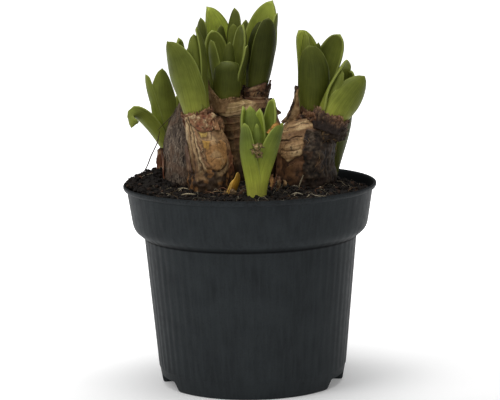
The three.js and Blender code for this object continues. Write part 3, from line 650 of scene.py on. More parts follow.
def blade_patch(shape, shoot, form, seed, **values):
    """A blade as a closed skin: its back, its inner face and rounded margins."""
    rows, columns = LEAF_GRID
    u = 1 - (1 - np.linspace(0, 1, rows)) ** CROWDING
    at, normal, across = blade_spine(shoot, form, u)
    opening = smooth((u - OPEN_FROM) / OPEN_SPAN)
    cup = np.radians(form["clasp"] * (1 - opening) + CUP * opening)[:, None]
    radius, to_tip = blade_radius(shoot, form, u, opening, seed)
    at = at - normal * (form["hood"] * to_tip ** 4)[:, None]
    radius = radius[:, None]
    share = np.linspace(-1, 1, columns + 1)
    depth = (THICK + (MARGIN_THICK - THICK) * share ** 2)[None, :]
    depth = np.minimum(depth, 0.75 * radius)
    rim = depth[:, :1] * 0.5
    reach = rim * 0.9 / radius
    angle = np.concatenate([cup * share, cup + reach, (cup * share)[:, ::-1], -cup - reach], 1)
    inset = np.concatenate([depth * 0, rim, depth[:, ::-1], rim], 1)
    shares = np.concatenate([share, [1.03], share[::-1], [-1.03]])
    inner = np.concatenate([share * 0, [0.5], share * 0 + 1, [0.5]])
    r = radius - inset
    points = (
        at[:, None, :]
        + across[:, None, :] * (r * np.sin(angle))[..., None]
        + normal[:, None, :] * (r * np.cos(angle) - radius)[..., None]
    )
    u_grid, share_grid = np.meshgrid(u, shares, indexing="ij")
    wave = noise(stack(u_grid * 3.5, share_grid * 0.8 + seed * 3.1, seed))
    wave = wave * (0.15 + 0.35 * share_grid ** 2) * smooth(u_grid * 4) * smooth((1 - u_grid) * 8)
    points = points + normal[:, None, :] * wave[..., None]
    sides = dict(along=u_grid, across=np.clip(share_grid, -1, 1), inner=np.tile(inner, (rows, 1)))
    shape.add(points, closed_faces(rows, len(shares)), **sides, **values)


def lathe_points(outline, segments):
    """An outline of radius and height, turned about the upright axis. It gives rings of points."""
    angle = angles_round(segments)
    return np.array([stack(r * np.cos(angle), r * np.sin(angle), z) for r, z in outline])


def stem_patch(shape, shoot, **values):
    """The short round stem that a shoot's leaves stand round."""
    r, sunk, rise = shoot["radius"] - STEM_INSET, shoot["sunk"], shoot["rise"]
    outline = [(r * 0.6, -sunk), (r, 1 - sunk), (r, 0.4 * rise), (0.6 * r, 0.9 * rise), (0.15 * r, rise)]
    points = to_shoot(lathe_points(outline, STEM_SEGMENTS), shoot)
    faces = closed_faces(len(outline), STEM_SEGMENTS)
    shape.add(points, faces, along=0.02, across=0.0, inner=0.0, **values)


def make_shoot(name, material, slot):
    """A shoot with its leaves, each a little lighter or darker than the next."""
    shoot = SHOOTS[name]
    shape = Shape()
    stem_patch(shape, shoot, tone=shoot["tone"], lit=1.0)
    for i, form in enumerate(shoot["leaves"]):
        seed = sum(map(ord, name)) + 7 * i
        tone = shoot["tone"] if form["tone"] is None else form["tone"]
        own = tone + TONE_SPREAD * (lattice(np.int64(seed), np.int64(i), np.int64(3), 1) - 0.5)
        blade_patch(shape, shoot, form, seed, tone=own, lit=form["lit"])
    return make_piece(name + "_leaves", shape, material, slot, [name])


def through(values, t):
    """A smooth course through evenly spaced values, read at t from 0 to 1."""
    values = np.asarray(values, float)
    last = len(values) - 1
    i = np.minimum(last - 1, np.floor(t * last).astype(int))
    s = t * last - i
    b, c = values[i], values[i + 1]
    a, d = values[np.maximum(0, i - 1)], values[np.minimum(last, i + 2)]
    bend = (2 * a - 5 * b + 4 * c - d) * s ** 2 + (3 * b - a - 3 * c + d) * s ** 3
    return b + 0.5 * ((c - a) * s + bend)


def course_of(path, t):
    """Points along a smooth course through the points of a path."""
    return stack(*[through(values, t) for values in zip(*path)])


def belly_of(name):
    """The level where a bulb is about widest: its centre and half widths."""
    return BULBS[name]["levels"][2][1:]


def flats_of(name):
    """The upright planes where a bulb is pressed against its neighbours."""
    x, y, rx, _ = belly_of(name)
    flats = []
    for other in BULBS:
        if other == name:
            continue
        ox, oy, orx, _ = belly_of(other)
        away = np.array([ox - x, oy - y], float)
        apart = np.linalg.norm(away)
        reach = (apart ** 2 + rx ** 2 - orx ** 2) / (2 * apart) - GAP / 2
        flats.append((away / apart, np.array([x, y], float), reach))
    return flats


def bulb_skin(name, t, angle, lift=0.0):
    """Points on or above a bulb's skin at heights t from 0 to 1, pressed flat by its neighbours."""
    bulb = BULBS[name]
    z, x, y, rx, ry = [through(column, t) for column in zip(*bulb["levels"])]
    lump = 1 + bulb["relief"] * np.sin(bulb["ridges"] * angle + 5 * t) * smooth(3 * t)
    points = stack(x + (rx * lump + lift) * np.cos(angle), y + (ry * lump + lift) * np.sin(angle), z)
    free = np.maximum(0, points[..., 2] - PART_HEIGHT)
    for normal, start, reach in flats_of(name):
        ahead = (points[..., :2] - start) @ normal
        over = np.maximum(0, ahead - reach - free)
        points[..., :2] -= over[..., None] * normal
    return points


def outward(points):
    """The way out from each point of a wrapped grid."""
    down = np.gradient(points, axis=0)
    wrapped = np.concatenate([points[:, -1:], points, points[:, :1]], 1)
    round_ = (wrapped[:, 2:] - wrapped[:, :-2]) / 2
    normal = np.cross(round_, down)
    return normal / np.maximum(1e-6, np.linalg.norm(normal, axis=-1, keepdims=True))


# Colours of the dry skins, as they look on a screen.
TAN = linear(138, 110, 76)
PALE_TAN = linear(172, 148, 110)
CREAM = linear(188, 166, 128)
PINK_TAN = linear(150, 112, 80)
OCHRE = linear(164, 128, 58)
ORANGE_TAN = linear(156, 116, 70)
BROWN = linear(92, 64, 44)
RED_BROWN = linear(112, 66, 46)
DARK_BROWN = linear(42, 30, 24)
CRUST = linear(52, 43, 35)
GREY_CRUST = linear(80, 69, 56)
PLUM = linear(83, 73, 64)
PALE_PLUM = linear(134, 121, 106)
DARK_PLUM = linear(42, 34, 32)
COLLAR_DIRT = linear(40, 32, 28)
GREY_BROWN = linear(98, 76, 60)
YELLOW_TAN = linear(176, 150, 78)
SOILED_TAN = linear(140, 100, 58)
FUNNEL_TAN = linear(140, 118, 80)
FOLD_BROWN = linear(108, 86, 60)
UMBER = linear(88, 62, 42)
BALL_BROWN = linear(120, 86, 56)
BALL_HIGHLIGHT = linear(132, 96, 66)
CRUST_PIT = linear(30, 25, 22)


def front_line(points, line):
    """How far points lie from a line drawn on the front by x and z."""
    flat = points[..., [0, 2]]
    nearest = np.full(flat.shape[:-1], 1e9)
    for start, end in zip(line[:-1], line[1:]):
        start, way = np.array(start, float), np.subtract(end, start)
        share = np.clip((flat - start) @ way / (way @ way), 0, 1)
        nearest = np.minimum(nearest, np.linalg.norm(flat - start - share[..., None] * way, axis=-1))
    return nearest


def front_area(points, outline):
    """How far points lie inside an outline drawn on the front. It is below 0 outside."""
    closed = [*outline, outline[0]]
    x, _, z = split(points)
    inside = np.zeros(x.shape, bool)
    for (ax, az), (bx, bz) in zip(closed[:-1], closed[1:]):
        crosses = (az > z) != (bz > z)
        inside ^= crosses & (x < (bx - ax) * (z - az) / ((bz - az) or 1e-9) + ax)
    return np.where(inside, 1, -1) * front_line(points, closed)


def spots(points, size, octaves, seed, gain=1.6, shift=-0.1):
    """Patches about so wide. Gain makes their borders sharp, and shift spreads them."""
    return smooth(gain * fractal(points / size, octaves, seed) + shift)


class Skin:
    """A bulb's skin while it is built up: how far it rises and its colour at each point."""

    def __init__(self, points, behind, colour):
        self.points = points
        self.rise = np.zeros(points.shape[:-1])
        self.colour = np.broadcast_to(colour, points.shape).copy()
        self.front = smooth((behind - points[..., 1]) / 3)
        self.drawn = points + 0.5 * stack(fractal(points / 2.2, 2, 91), 0, fractal(points / 2.2, 2, 93))

    def tint(self, colour, share):
        self.colour = mix(self.colour, colour, np.clip(share, 0, 1))

    def blotch(self, colour, share, size, seed, gain=1.6, shift=-0.1, octaves=3):
        """Spots of a colour."""
        self.tint(colour, share * spots(self.points, size, octaves, seed, gain, shift))

    def crack(self, line, width, depth):
        """A crack along a line: a groove, darkened with painted shade."""
        cut = self.front * smooth(1 - front_line(self.drawn, line) / width)
        self.rise -= depth * cut
        self.tint(DARK_BROWN, 0.9 * cut)

    def fold(self, line, width, height, colour):
        """A raised fold or fibre along a line."""
        ridge = self.front * smooth(1 - front_line(self.drawn, line) / width)
        self.rise += height * ridge
        self.tint(colour, 0.8 * ridge)

    def sheet(self, outline, colour, height, share, edge):
        """A thin sheet laid on the skin, with a painted shadow along its edge."""
        depth = front_area(self.drawn, outline)
        cover = self.front * smooth(depth / 0.5 + 0.5)
        rim = self.front * smooth(1 - np.abs(depth + 0.3) / 0.5)
        self.rise += height * cover
        self.tint(colour, share * cover)
        self.tint(DARK_BROWN, edge * rim)
        return cover


def above(points, z, soft, rough, seed):
    """A share that grows to 1 above a height, with a ragged border."""
    return smooth((points[..., 2] - z) / soft + rough * fractal(points / 4, 3, seed) + 0.5)


def relief_left(p, angle):
    """Grey-brown fibres that run up to the neck, with pale flecks."""
    skin, z = Skin(p, 8, PLUM), p[..., 2]
    wander = angle + 0.12 * fractal(p / 7, 2, 12)
    lines = ridged(stack(wander * 15, z * 0.11, 0), 3, 5)
    flecks = ridged(stack(wander * 24, z * 0.3, 7), 2, 15)
    mottle = fractal(p / 4, 3, 3)
    skin.rise += 0.35 * lines + 0.4 * fractal(p / 6, 3, 8) + 0.35 * flecks ** 3
    skin.tint(DARK_PLUM, smooth(0.75 - 1.6 * lines + 0.7 * mottle))
    skin.tint(PALE_PLUM, 0.8 * smooth(2.6 * flecks - 1.2 + 0.7 * mottle))
    skin.blotch(GREY_BROWN, 0.6, 5, 19, 2.2, -0.3, 2)
    skin.tint(CRUST, 0.8 * (1 - above(p, 101, 7, 0.7, 4)))
    return skin


# The front bulb, by x and z: the crumpled scale at its neck, its smooth belly, and the strips beside them.
NECK_SCALE = [
    (-31, 143), (-24, 144.5), (-17.5, 145), (-17, 138), (-16.5, 134.5), (-18.5, 132.8), (-23, 132.6),
    (-26.5, 133.5), (-29, 136),
]
YELLOW_PATCH = [(-25.5, 133), (-21, 132.5), (-21.5, 130), (-24, 129.5)]
OCHRE_PATCH = [(-23.5, 128.5), (-19.5, 128), (-20.5, 124), (-22.5, 125)]
BELLY = [(-21.5, 128), (-13.5, 128), (-11, 123.5), (-11, 118), (-14, 114), (-18.5, 113.5), (-21.5, 119)]
BELLY_CRACK = [(-21.5, 114.5), (-18, 113), (-14.5, 113.3), (-11.5, 115.5), (-10.5, 121)]
BELLY_ARC = [(-19.5, 117.5), (-16.5, 119.4), (-13, 120)]
SIDE_LINE = [(-9.5, 125), (-8, 122), (-8.2, 118), (-10, 113.5)]
STRIPS = [
    ([(-31.5, 141), (-30.8, 131), (-30, 122), (-29.5, 112)], CREAM),
    ([(-30.5, 139), (-28.8, 131), (-27, 122), (-24.5, 113)], PALE_TAN),
    ([(-29, 136.5), (-26.6, 128), (-24.6, 119), (-21.5, 113)], CREAM),
    ([(-27, 132.5), (-25, 126), (-23, 119), (-20.5, 115)], PINK_TAN),
]
STRIP_CRACKS = [
    [(-30.8, 138), (-29.6, 130), (-28.3, 121), (-27.5, 113)],
    [(-29.5, 137), (-27.6, 129), (-25.6, 120), (-23, 113)],
    [(-27, 131), (-24.4, 123), (-22.4, 118)],
]


def relief_front_left(p, angle):
    """Papery skin: a crumpled scale at the neck, long strips at the left, a smooth belly, dirt below."""
    skin = Skin(p, -10, TAN)
    x, _, z = split(p)
    waves = fractal(stack(angle * 3, z / 9, 0), 3, 11)
    cracks = ridged(stack(angle * 3.4, z / 17, 0), 3, 21)
    back = 1 - skin.front
    skin.rise += 0.35 * waves - 0.8 * back * cracks ** 3 + 0.2 * fractal(p / 2.4, 3, 14)
    skin.tint(PALE_TAN, 0.6 * smooth(waves + 0.3))
    skin.blotch(BROWN, 0.6, 5, 6)
    skin.tint(RED_BROWN, 0.85 * smooth((x + 12) / 3 + 0.5 * fractal(p / 3, 2, 16)))
    belly = skin.sheet(BELLY, ORANGE_TAN, 0.7, 0.9, 0.3)
    skin.blotch(PALE_TAN, 0.5 * belly, 4, 18, 1.4, 0, 2)
    for line, colour in STRIPS:
        skin.fold(line, 0.95, 0.55, colour)
    for line in STRIP_CRACKS:
        skin.crack(line, 0.4, 0.5)
    skin.sheet(YELLOW_PATCH, YELLOW_TAN, 0.2, 0.8, 0.4)
    skin.sheet(OCHRE_PATCH, OCHRE, 0.2, 0.9, 0.2)
    crumple_neck(skin, fractal(p / 1.9, 4, 23))
    skin.crack(BELLY_CRACK, 0.55, 0.9)
    skin.crack(BELLY_ARC, 0.3, 0.25)
    skin.fold(SIDE_LINE, 0.5, 0.5, PINK_TAN)
    skin.tint(BROWN, 0.14)
    # Painted shade in the cracks on the bulb's back.
    skin.tint(DARK_BROWN, back * np.clip(1.3 * cracks ** 3, 0, 1))
    dirt = 1 - above(p, 112.5, 4, 1.2, 7)
    skin.rise += dirt * 0.6 * fractal(p / 1.8, 3, 27)
    skin.tint(DARK_BROWN, 0.9 * dirt)
    skin.blotch(SOILED_TAN, 0.75 * dirt, 2.3, 29, 2.4, -0.4)
    skin.blotch(DARK_BROWN, 0.6, 1.5, 31, 2.6, -1.1)
    return skin


def crumple_neck(skin, crumple):
    """The front bulb's neck scale: pale where it rises, as a painted highlight, and red-brown where it sinks.
    """
    scale = skin.sheet(NECK_SCALE, PINK_TAN, 0.8, 0.9, 0.9)
    skin.rise += 0.55 * scale * crumple
    skin.tint(BROWN, 0.35 * scale)
    skin.tint(CREAM, scale * 0.9 * smooth(2.6 * crumple - 0.5))
    skin.tint(RED_BROWN, scale * 0.9 * smooth(-2.2 * crumple - 0.05))


# The centre bulb: the edge of the funnel round its shoot, and the folds under it.
FUNNEL_EDGE = [(-19, 141), (-16, 138.8), (-11.5, 137.8), (-4, 139), (4, 140), (14, 139.5)]
CENTRE_BANDS = [
    [(-17, 136), (-12, 134), (-6, 135), (0, 137)],
    [(-17, 132.5), (-12, 130.5), (-6, 131.5), (0, 133)],
    [(-15, 128), (-10, 126.5), (-4, 127.5)],
]


def relief_centre(p, angle):
    """A tan funnel of fine curved lines round the shoot, and brown folds under its edge."""
    skin = Skin(p, 8, FUNNEL_TAN)
    x, y, z = split(p)
    sag = 0.03 * (x + 8) ** 2 + 0.15 * x
    wraps = ridged(stack(x / 30, (z - sag) / 1.5, y / 30), 2, 41)
    folds = fractal(p / (5, 5, 9), 3, 43)
    upper = smooth((z - 137.4 - 0.012 * (x + 10) ** 2 + 0.4 * fractal(p / 3, 2, 44)) / 0.8)
    lower = 1 - upper
    skin.rise += 0.3 * wraps + 0.5 * folds + 1.0 * upper
    skin.tint(PALE_TAN, 0.9 * smooth(wraps * 1.4))
    skin.blotch(BROWN, 0.35, (6, 6, 2.5), 49, 1.2, -0.15)
    skin.tint(BROWN, 0.8 * upper * smooth((x - 1) / 4))
    skin.tint(FOLD_BROWN, 0.8 * lower)
    strips = ridged(stack(angle * 6, z / 12, 0), 2, 47)
    skin.blotch(TAN, 0.6 * lower, (5, 5, 3), 48, 1.8, 0)
    skin.blotch(DARK_BROWN, 0.5 * lower, 4, 45)
    skin.tint(RED_BROWN, 0.5 * lower * strips ** 2)
    for line in CENTRE_BANDS:
        skin.fold(line, 0.8, 0.7, TAN)
    skin.crack(FUNNEL_EDGE, 0.5, 0.4)
    skin.tint(DARK_BROWN, 0.8 * (1 - above(p, 116, 8, 0.8, 46)))
    return skin


# The right bulb's tan sheet, its creases with their width and depth, and where the crust of dirt begins.
TAN_SHEET = [
    (10, 137), (19, 138.5), (26, 140), (30, 136.5), (34, 134), (38, 132.5), (36.5, 130), (33, 129.6),
    (29.5, 131), (27.8, 128), (26.6, 119.5), (22, 117), (19.5, 115.3), (15.5, 118.5), (10, 121),
]
CREASES = [
    ([(12, 124.2), (18.5, 126), (22.5, 127.7), (26.5, 128.8)], 0.55, 0.9),
    ([(15.5, 121.4), (20.5, 121), (26, 122.4)], 0.3, 0.3),
    ([(14, 130.5), (19, 131), (25, 133.5), (30, 134.6)], 0.3, 0.3),
    ([(16, 134), (22, 135.4), (28, 136)], 0.3, 0.25),
]
CRUST_EDGE_Z, CRUST_EDGE_X = (96, 109, 119, 127, 133), (25, 26, 26.6, 27.6, 28.6)


def relief_right(p, angle):
    """A tan sheet with creases over a brown ball at the left, and a thick crust of dirt at the right."""
    skin = Skin(p, 2, UMBER)
    x, y, z = split(p)
    slant = stack((x - 30) / 26, (z - 0.28 * x) / 1.7, y / 26)
    wraps = ridged(slant, 2, 51)
    folds = fractal(p / (8, 8, 5), 3, 53)
    low = skin.front * smooth((118 - z) / 2)
    skin.rise += 0.5 * folds - 0.5 * low
    skin.tint(BROWN, 0.7 * smooth(1.5 * folds + 0.2))
    skin.tint(BALL_BROWN, 0.6 * skin.front * smooth(1 - np.hypot(x - 20, z - 111) / 5))
    # Painted highlights: lighter reddish patches on the low ball.
    skin.blotch(BALL_HIGHLIGHT, 0.55 * low, 3.6, 64, 1.8)
    skin.tint(DARK_BROWN, 0.9 * low * ridged(p / (7, 7, 4.5), 3, 62) ** 3)
    sheet = skin.sheet(TAN_SHEET, TAN, 0.7, 0.95, 0.6)
    sheet = np.maximum(sheet, (1 - skin.front) * above(p, 118, 6, 0.6, 52))
    skin.tint(TAN, sheet * (1 - skin.front))
    skin.rise += 0.3 * wraps * sheet
    skin.tint(PALE_TAN, 0.8 * sheet * smooth(1.2 * folds + wraps - 0.3))
    skin.tint(BROWN, 0.6 * sheet * smooth(1.7 * fractal(slant * 0.6, 3, 54) - 0.2))
    for line, width, depth in CREASES:
        skin.crack(line, width, depth)
    crust_over(skin)
    skin.tint(DARK_BROWN, 0.9 * (1 - above(p, 104.5, 5, 0.8, 60)))
    skin.blotch(DARK_BROWN, 0.7 * sheet, 1.3, 61, 2.6, -1.3)
    return skin


def crust_over(skin):
    """The thick crust of dirt on the right bulb, with a ledge along its left edge."""
    p = skin.points
    x, y, z = split(p)
    border = np.interp(z, CRUST_EDGE_Z, CRUST_EDGE_X)
    crust = smooth((x - border + 1.1 * fractal(p / 3, 3, 55)) / 0.9)
    crust = crust * smooth((132.2 - z) / 1.2) * smooth((10 - y) / 5)
    grains = fractal(p / 1.7, 4, 57)
    ledge = 0.3 + 0.8 * smooth((38 - x) / 9)
    skin.rise += crust * (ledge + 0.6 * grains + 0.3 * fractal(p / 4.5, 2, 58))
    skin.rise -= 0.5 * crust * smooth((x - 38) / 4)
    skin.tint(CRUST, crust)
    skin.tint(GREY_CRUST, crust * 0.75 * smooth(2.2 * grains - 0.35))
    skin.tint(CRUST_PIT, crust * 0.85 * smooth(-2.2 * grains - 0.2))
    skin.blotch(BROWN, crust * 0.35, 3.4, 59, 2.2, -0.6)


def relief_back(p, angle):
    """Papery skin with cracks that run up it."""
    skin = Skin(p, 0, TAN)
    cracks = ridged(stack(angle * 4, p[..., 2] / 18, 2), 3, 61)
    folds = fractal(p / (6, 6, 10), 3, 63)
    skin.rise += 0.7 * folds - 0.8 * cracks ** 3
    skin.tint(PALE_TAN, 0.8 * smooth(folds + 0.3))
    skin.blotch(BROWN, 0.7, 4, 66)
    skin.tint(RED_BROWN, 0.8 * above(p, 127, 8, 0.8, 65))
    # Painted shade in the cracks.
    skin.tint(DARK_BROWN, 1.2 * cracks ** 3)
    skin.tint(DARK_BROWN, 1 - above(p, 105, 9, 1.0, 67))
    return skin


RELIEFS = {
    "bulb_left": relief_left,
    "bulb_front_left": relief_front_left,
    "bulb_centre": relief_centre,
    "bulb_right": relief_right,
    "bulb_back": relief_back,
    "bulb_back_left": relief_back,
}


def bulb_heights(name, rows):
    """Shares of a bulb's height: a few rows in the soil and the rest above it."""
    course = np.linspace(0, 1, 200)
    z = through([level[0] for level in BULBS[name]["levels"]], course)
    shown = np.interp(SOIL_EDGE, z, course)
    return np.concatenate([np.linspace(0, shown, 7)[:-1], np.linspace(shown, 1, rows)])


# The dome that closes a bulb, by the angles of its rings.
DOME_STEPS, DOME_HEIGHT = (0.5, 1.0, 1.45), 1.5


def bulb_body(shape, name):
    """A bulb's own skin with its relief, closed by a low dome."""
    rows, segments = BACK_GRID if name in ("bulb_back", "bulb_back_left") else BULB_GRID
    t, angle = np.meshgrid(bulb_heights(name, rows), angles_round(segments), indexing="ij")
    points = bulb_skin(name, t, angle)
    skin = RELIEFS[name](points, angle)
    points = points + outward(points) * (0.8 * skin.rise - 0.15)[..., None]
    crown = points[-1]
    centre = crown.mean(0)
    dome = [centre + (crown - centre) * math.cos(a) + [0, 0, DOME_HEIGHT * math.sin(a)] for a in DOME_STEPS]
    points = np.concatenate([points, dome])
    colour = np.concatenate([skin.colour, np.repeat(skin.colour[-1:], len(dome), 0)])
    shape.add(points, closed_faces(len(points), segments), skin=colour)


# How rough each collar is, how dark its edge and its foot are, and the colours of its three layers.
COLLAR_LOOKS = {
    "shoot_front_left": (0.5, 0.5, 0, (PINK_TAN, RED_BROWN, BROWN)),
    "shoot_centre": (0.2, 0.15, 0, (TAN, TAN, TAN)),
    "shoot_centre_right": (0.7, 0.8, 0, (BROWN, DARK_BROWN, BROWN)),
    "shoot_right": (0.8, 0.45, 0, (BROWN, linear(112, 84, 62), DARK_BROWN)),
    "shoot_far_right": (0.95, 0.1, 0.95, (linear(126, 100, 78), linear(104, 80, 62), linear(76, 58, 46))),
}
PLAIN_COLLAR = (0.4, 0.9, 0, (TAN, RED_BROWN, BROWN))


def peak_at(angle, peak):
    """How much a torn collar rises at an angle, most at its peak."""
    return np.clip(np.cos(angle - math.radians(peak)), 0, 1) ** 6


def collar_patch(shape, name, layer, seed):
    """One ragged layer of torn skin round a shoot's foot."""
    rough, dark, below, colours = COLLAR_LOOKS.get(name, PLAIN_COLLAR)
    shoot = SHOOTS[name]
    height, ragged, flare, peak, rise = COLLARS[name]
    rows, segments = COLLAR_GRID
    angle = angles_round(segments)
    circle = stack(np.cos(angle) * 3, np.sin(angle) * 3, seed)
    torn = height + rise * peak_at(angle, peak) + ragged * 0.7 * fractal(circle, 3) - layer * 0.9
    torn = torn - 2.6 * ridged(circle * 2.2, 2, seed) ** 6
    share = np.linspace(0, 1, rows)[:, None]
    lift = -COLLAR_UNDER + share * (torn + COLLAR_UNDER)
    ripple = 0.22 * fractal(circle * (3, 3, 1), 2, 4)
    wide = shoot["radius"] + GAP + 0.18 + 0.3 * layer + flare * np.maximum(0, lift)
    wide = wide + ripple * share
    lifts = np.concatenate([lift, lift[::-1]])
    wides = np.concatenate([wide + COLLAR_THICK, wide[::-1]])
    points = to_shoot(stack(wides * np.cos(angle), wides * np.sin(angle), lifts), shoot)
    shares = np.concatenate([share, share[::-1]]) + 0 * lifts
    crumple = np.clip(fractal(points / 1.7, 3, seed + 7, 0.7), -0.3, 1.5)
    radial = stack(np.cos(angle), np.sin(angle), 0)
    points = points + radial * (rough * smooth(2.5 * shares) * crumple)[..., None]
    edge = shares * 1.6 - 0.9 + 0.6 * fractal(points / 2, 2, seed)
    tint = mix(colours[layer], DARK_BROWN, dark * smooth(edge))
    tint = mix(tint, DARK_BROWN, 0.9 * smooth(-1.5 * rough * crumple - 0.1))
    tint = mix(tint, PALE_TAN, smooth(1.1 * noise(points / 1.5, seed + 3) - 0.25) * 0.6)
    foot = 3.5 * (0.8 - shares) + 0.7 * fractal(points / 2.5, 2, seed + 1)
    tint = mix(tint, COLLAR_DIRT, below * smooth(foot))
    faces = [grid_faces(2 * rows, segments, wrap=True), ring_faces((2 * rows - 1) * segments, segments)]
    shape.add(points, faces, skin=tint)


def ring_faces(last, segments):
    """Quads that join the last ring of a wrapped grid to its first."""
    j = np.arange(segments)
    k = (j + 1) % segments
    return np.stack([last + j, last + k, k, j], -1)


def scrap_patch(shape, name, t, angle, tall, wide, lift, colour, seed):
    """A torn scrap of skin that lies on a bulb, with its upper edge standing off."""
    rows, columns = SCRAP_GRID
    v, w = np.meshgrid(np.linspace(0, 1, rows), np.linspace(-1, 1, columns), indexing="ij")
    edge = 1 + 0.35 * fractal(stack(v * 3, np.sign(w) * 2.0, seed), 2)
    w = w * edge * (1 - 0.35 * v)
    top = 1 + 0.3 * fractal(stack(w * 3, seed, 0), 2, 3)
    levels = BULBS[name]["levels"]
    height = levels[-1][0] - levels[0][0]
    half = wide / 2 / levels[len(levels) // 2][3]
    spread = np.clip(t + (v * top - 0.5) * tall / height, 0, 1)
    off = 0.35 + lift * (v ** 2 + 0.35 * w ** 2 * v) + 0.3 * fractal(stack(v * 2, w * 2, seed), 2, 5)
    outer = bulb_skin(name, spread, angle + w * half, off + 0.25)
    inner = bulb_skin(name, spread, angle + w * half, off)
    border = smooth((np.maximum(np.abs(w), v) - 0.72) * 4)
    tint = mix(colour, PALE_TAN, smooth(noise(outer / 2.2, seed)) * 0.5)
    two_faced(shape, outer, inner, mix(tint, DARK_BROWN, border * 0.75))


def two_faced(shape, outer, inner, tint):
    """A thin sheet from two grids of points, closed round its border."""
    rows, columns = outer.shape[:2]
    half = rows * columns
    front = grid_faces(rows, columns)
    number = np.arange(half).reshape(rows, columns)
    ring = np.concatenate([number[0], number[1:, -1], number[-1, -2::-1], number[-2:0:-1, 0]])
    after = np.roll(ring, -1)
    rim = np.stack([ring + half, after + half, after, ring], -1)
    points = np.concatenate([outer.reshape(-1, 3), inner.reshape(-1, 3)])
    faces = [front, front[:, ::-1] + half, rim]
    shape.add(points, faces, skin=np.concatenate([tint.reshape(-1, 3)] * 2))


def strip_patch(shape, left, right, colour, seed, bend, ragged=0.5, dark=0.8):
    """A torn piece of dry skin between two courses of points that run up it."""
    rows, columns = STRIP_GRID
    course = np.linspace(0, 1, rows)
    a, b = course_of(left, course), course_of(right, course)
    t, w = np.meshgrid(course, np.linspace(0, 1, columns), indexing="ij")
    tear = fractal(stack(t * 7, np.round(w) * 3 + seed, 0), 3) * (2 * w - 1) ** 2
    wide = np.linalg.norm(b - a, axis=-1)[:, None] + 1e-6
    s = w + ragged * tear / np.maximum(wide, 2 * ragged)
    middle = a[:, None, :] * (1 - s[..., None]) + b[:, None, :] * s[..., None]
    normal = unit(np.cross(b - a, np.gradient((a + b) / 2, axis=0)) + 1e-9)[:, None, :]
    middle = middle + normal * (bend * np.sin(math.pi * w) + 0.4 * fractal(middle / 2.4, 3, seed))[..., None]
    border = smooth((np.maximum(np.abs(2 * w - 1), t) - 0.7) * 3.5)
    tint = mix(colour, PALE_TAN, 0.5 * spots(middle, 2.2, 3, seed + 1, shift=0))
    tint = mix(tint, BROWN, 0.7 * spots(middle, 1.8, 3, seed + 2))
    two_faced(shape, middle + 0.2 * normal, middle - 0.2 * normal, mix(tint, DARK_BROWN, dark * border))


def clump_patch(shape, at, radii, colour, seed, rough):
    """A crumbly lump of torn skin and dirt."""
    rows, columns = CLUMP_GRID
    steps = np.linspace(0.03, math.pi - 0.03, rows)
    tilt, angle = np.meshgrid(steps, angles_round(columns), indexing="ij")
    ball = stack(np.sin(tilt) * np.cos(angle), np.sin(tilt) * np.sin(angle), np.cos(tilt))
    place = ball * np.array(radii) + np.array(at)
    bumps = fractal(place / 2.6, 4, seed, 0.7)
    points = place + ball * (rough * max(radii) * 0.5 * bumps)[..., None]
    tint = mix(colour, DARK_BROWN, smooth(-1.6 * bumps - 0.1))
    tint = mix(tint, TAN, 0.7 * spots(place, 1.3, 3, seed + 5, 1.8, -0.5))
    shape.add(points, [group[:, ::-1] for group in closed_faces(rows, columns)], skin=tint)


# Torn scraps by bulb: height share, angle in degrees, tall, wide, lift, colour.
SCRAPS = {
    "bulb_left": [(0.4, 196, 11, 5, 0.9, RED_BROWN), (0.45, 120, 10, 7, 0.8, PALE_PLUM)],
    "bulb_front_left": [(0.88, 318, 8, 5, 1.3, PINK_TAN), (0.55, 200, 12, 8, 0.7, BROWN)],
    "bulb_centre": [
        (0.86, 318, 7, 8, 1.2, DARK_BROWN), (0.8, 345, 9, 8, 1.4, BROWN), (0.9, 330, 8, 6, 1.6, RED_BROWN),
        (0.8, 60, 9, 9, 1.0, TAN), (0.6, 20, 12, 9, 0.8, BROWN),
    ],
    "bulb_right": [
        (0.95, 290, 4, 6, 1.0, RED_BROWN), (0.95, 315, 5, 6, 1.3, BROWN), (0.93, 340, 5, 6, 1.4, RED_BROWN),
        (0.84, 90, 8, 9, 1.0, TAN), (0.6, 120, 12, 9, 0.8, BROWN),
    ],
    "bulb_back": [
        (0.85, 90, 9, 9, 1.0, TAN), (0.7, 60, 12, 8, 0.8, BROWN), (0.9, 140, 8, 7, 1.2, RED_BROWN),
        (0.9, 30, 8, 7, 1.2, BROWN),
    ],
    "bulb_back_left": [(0.75, 120, 8, 6, 1.0, BROWN), (0.8, 230, 7, 5, 1.0, BROWN)],
}

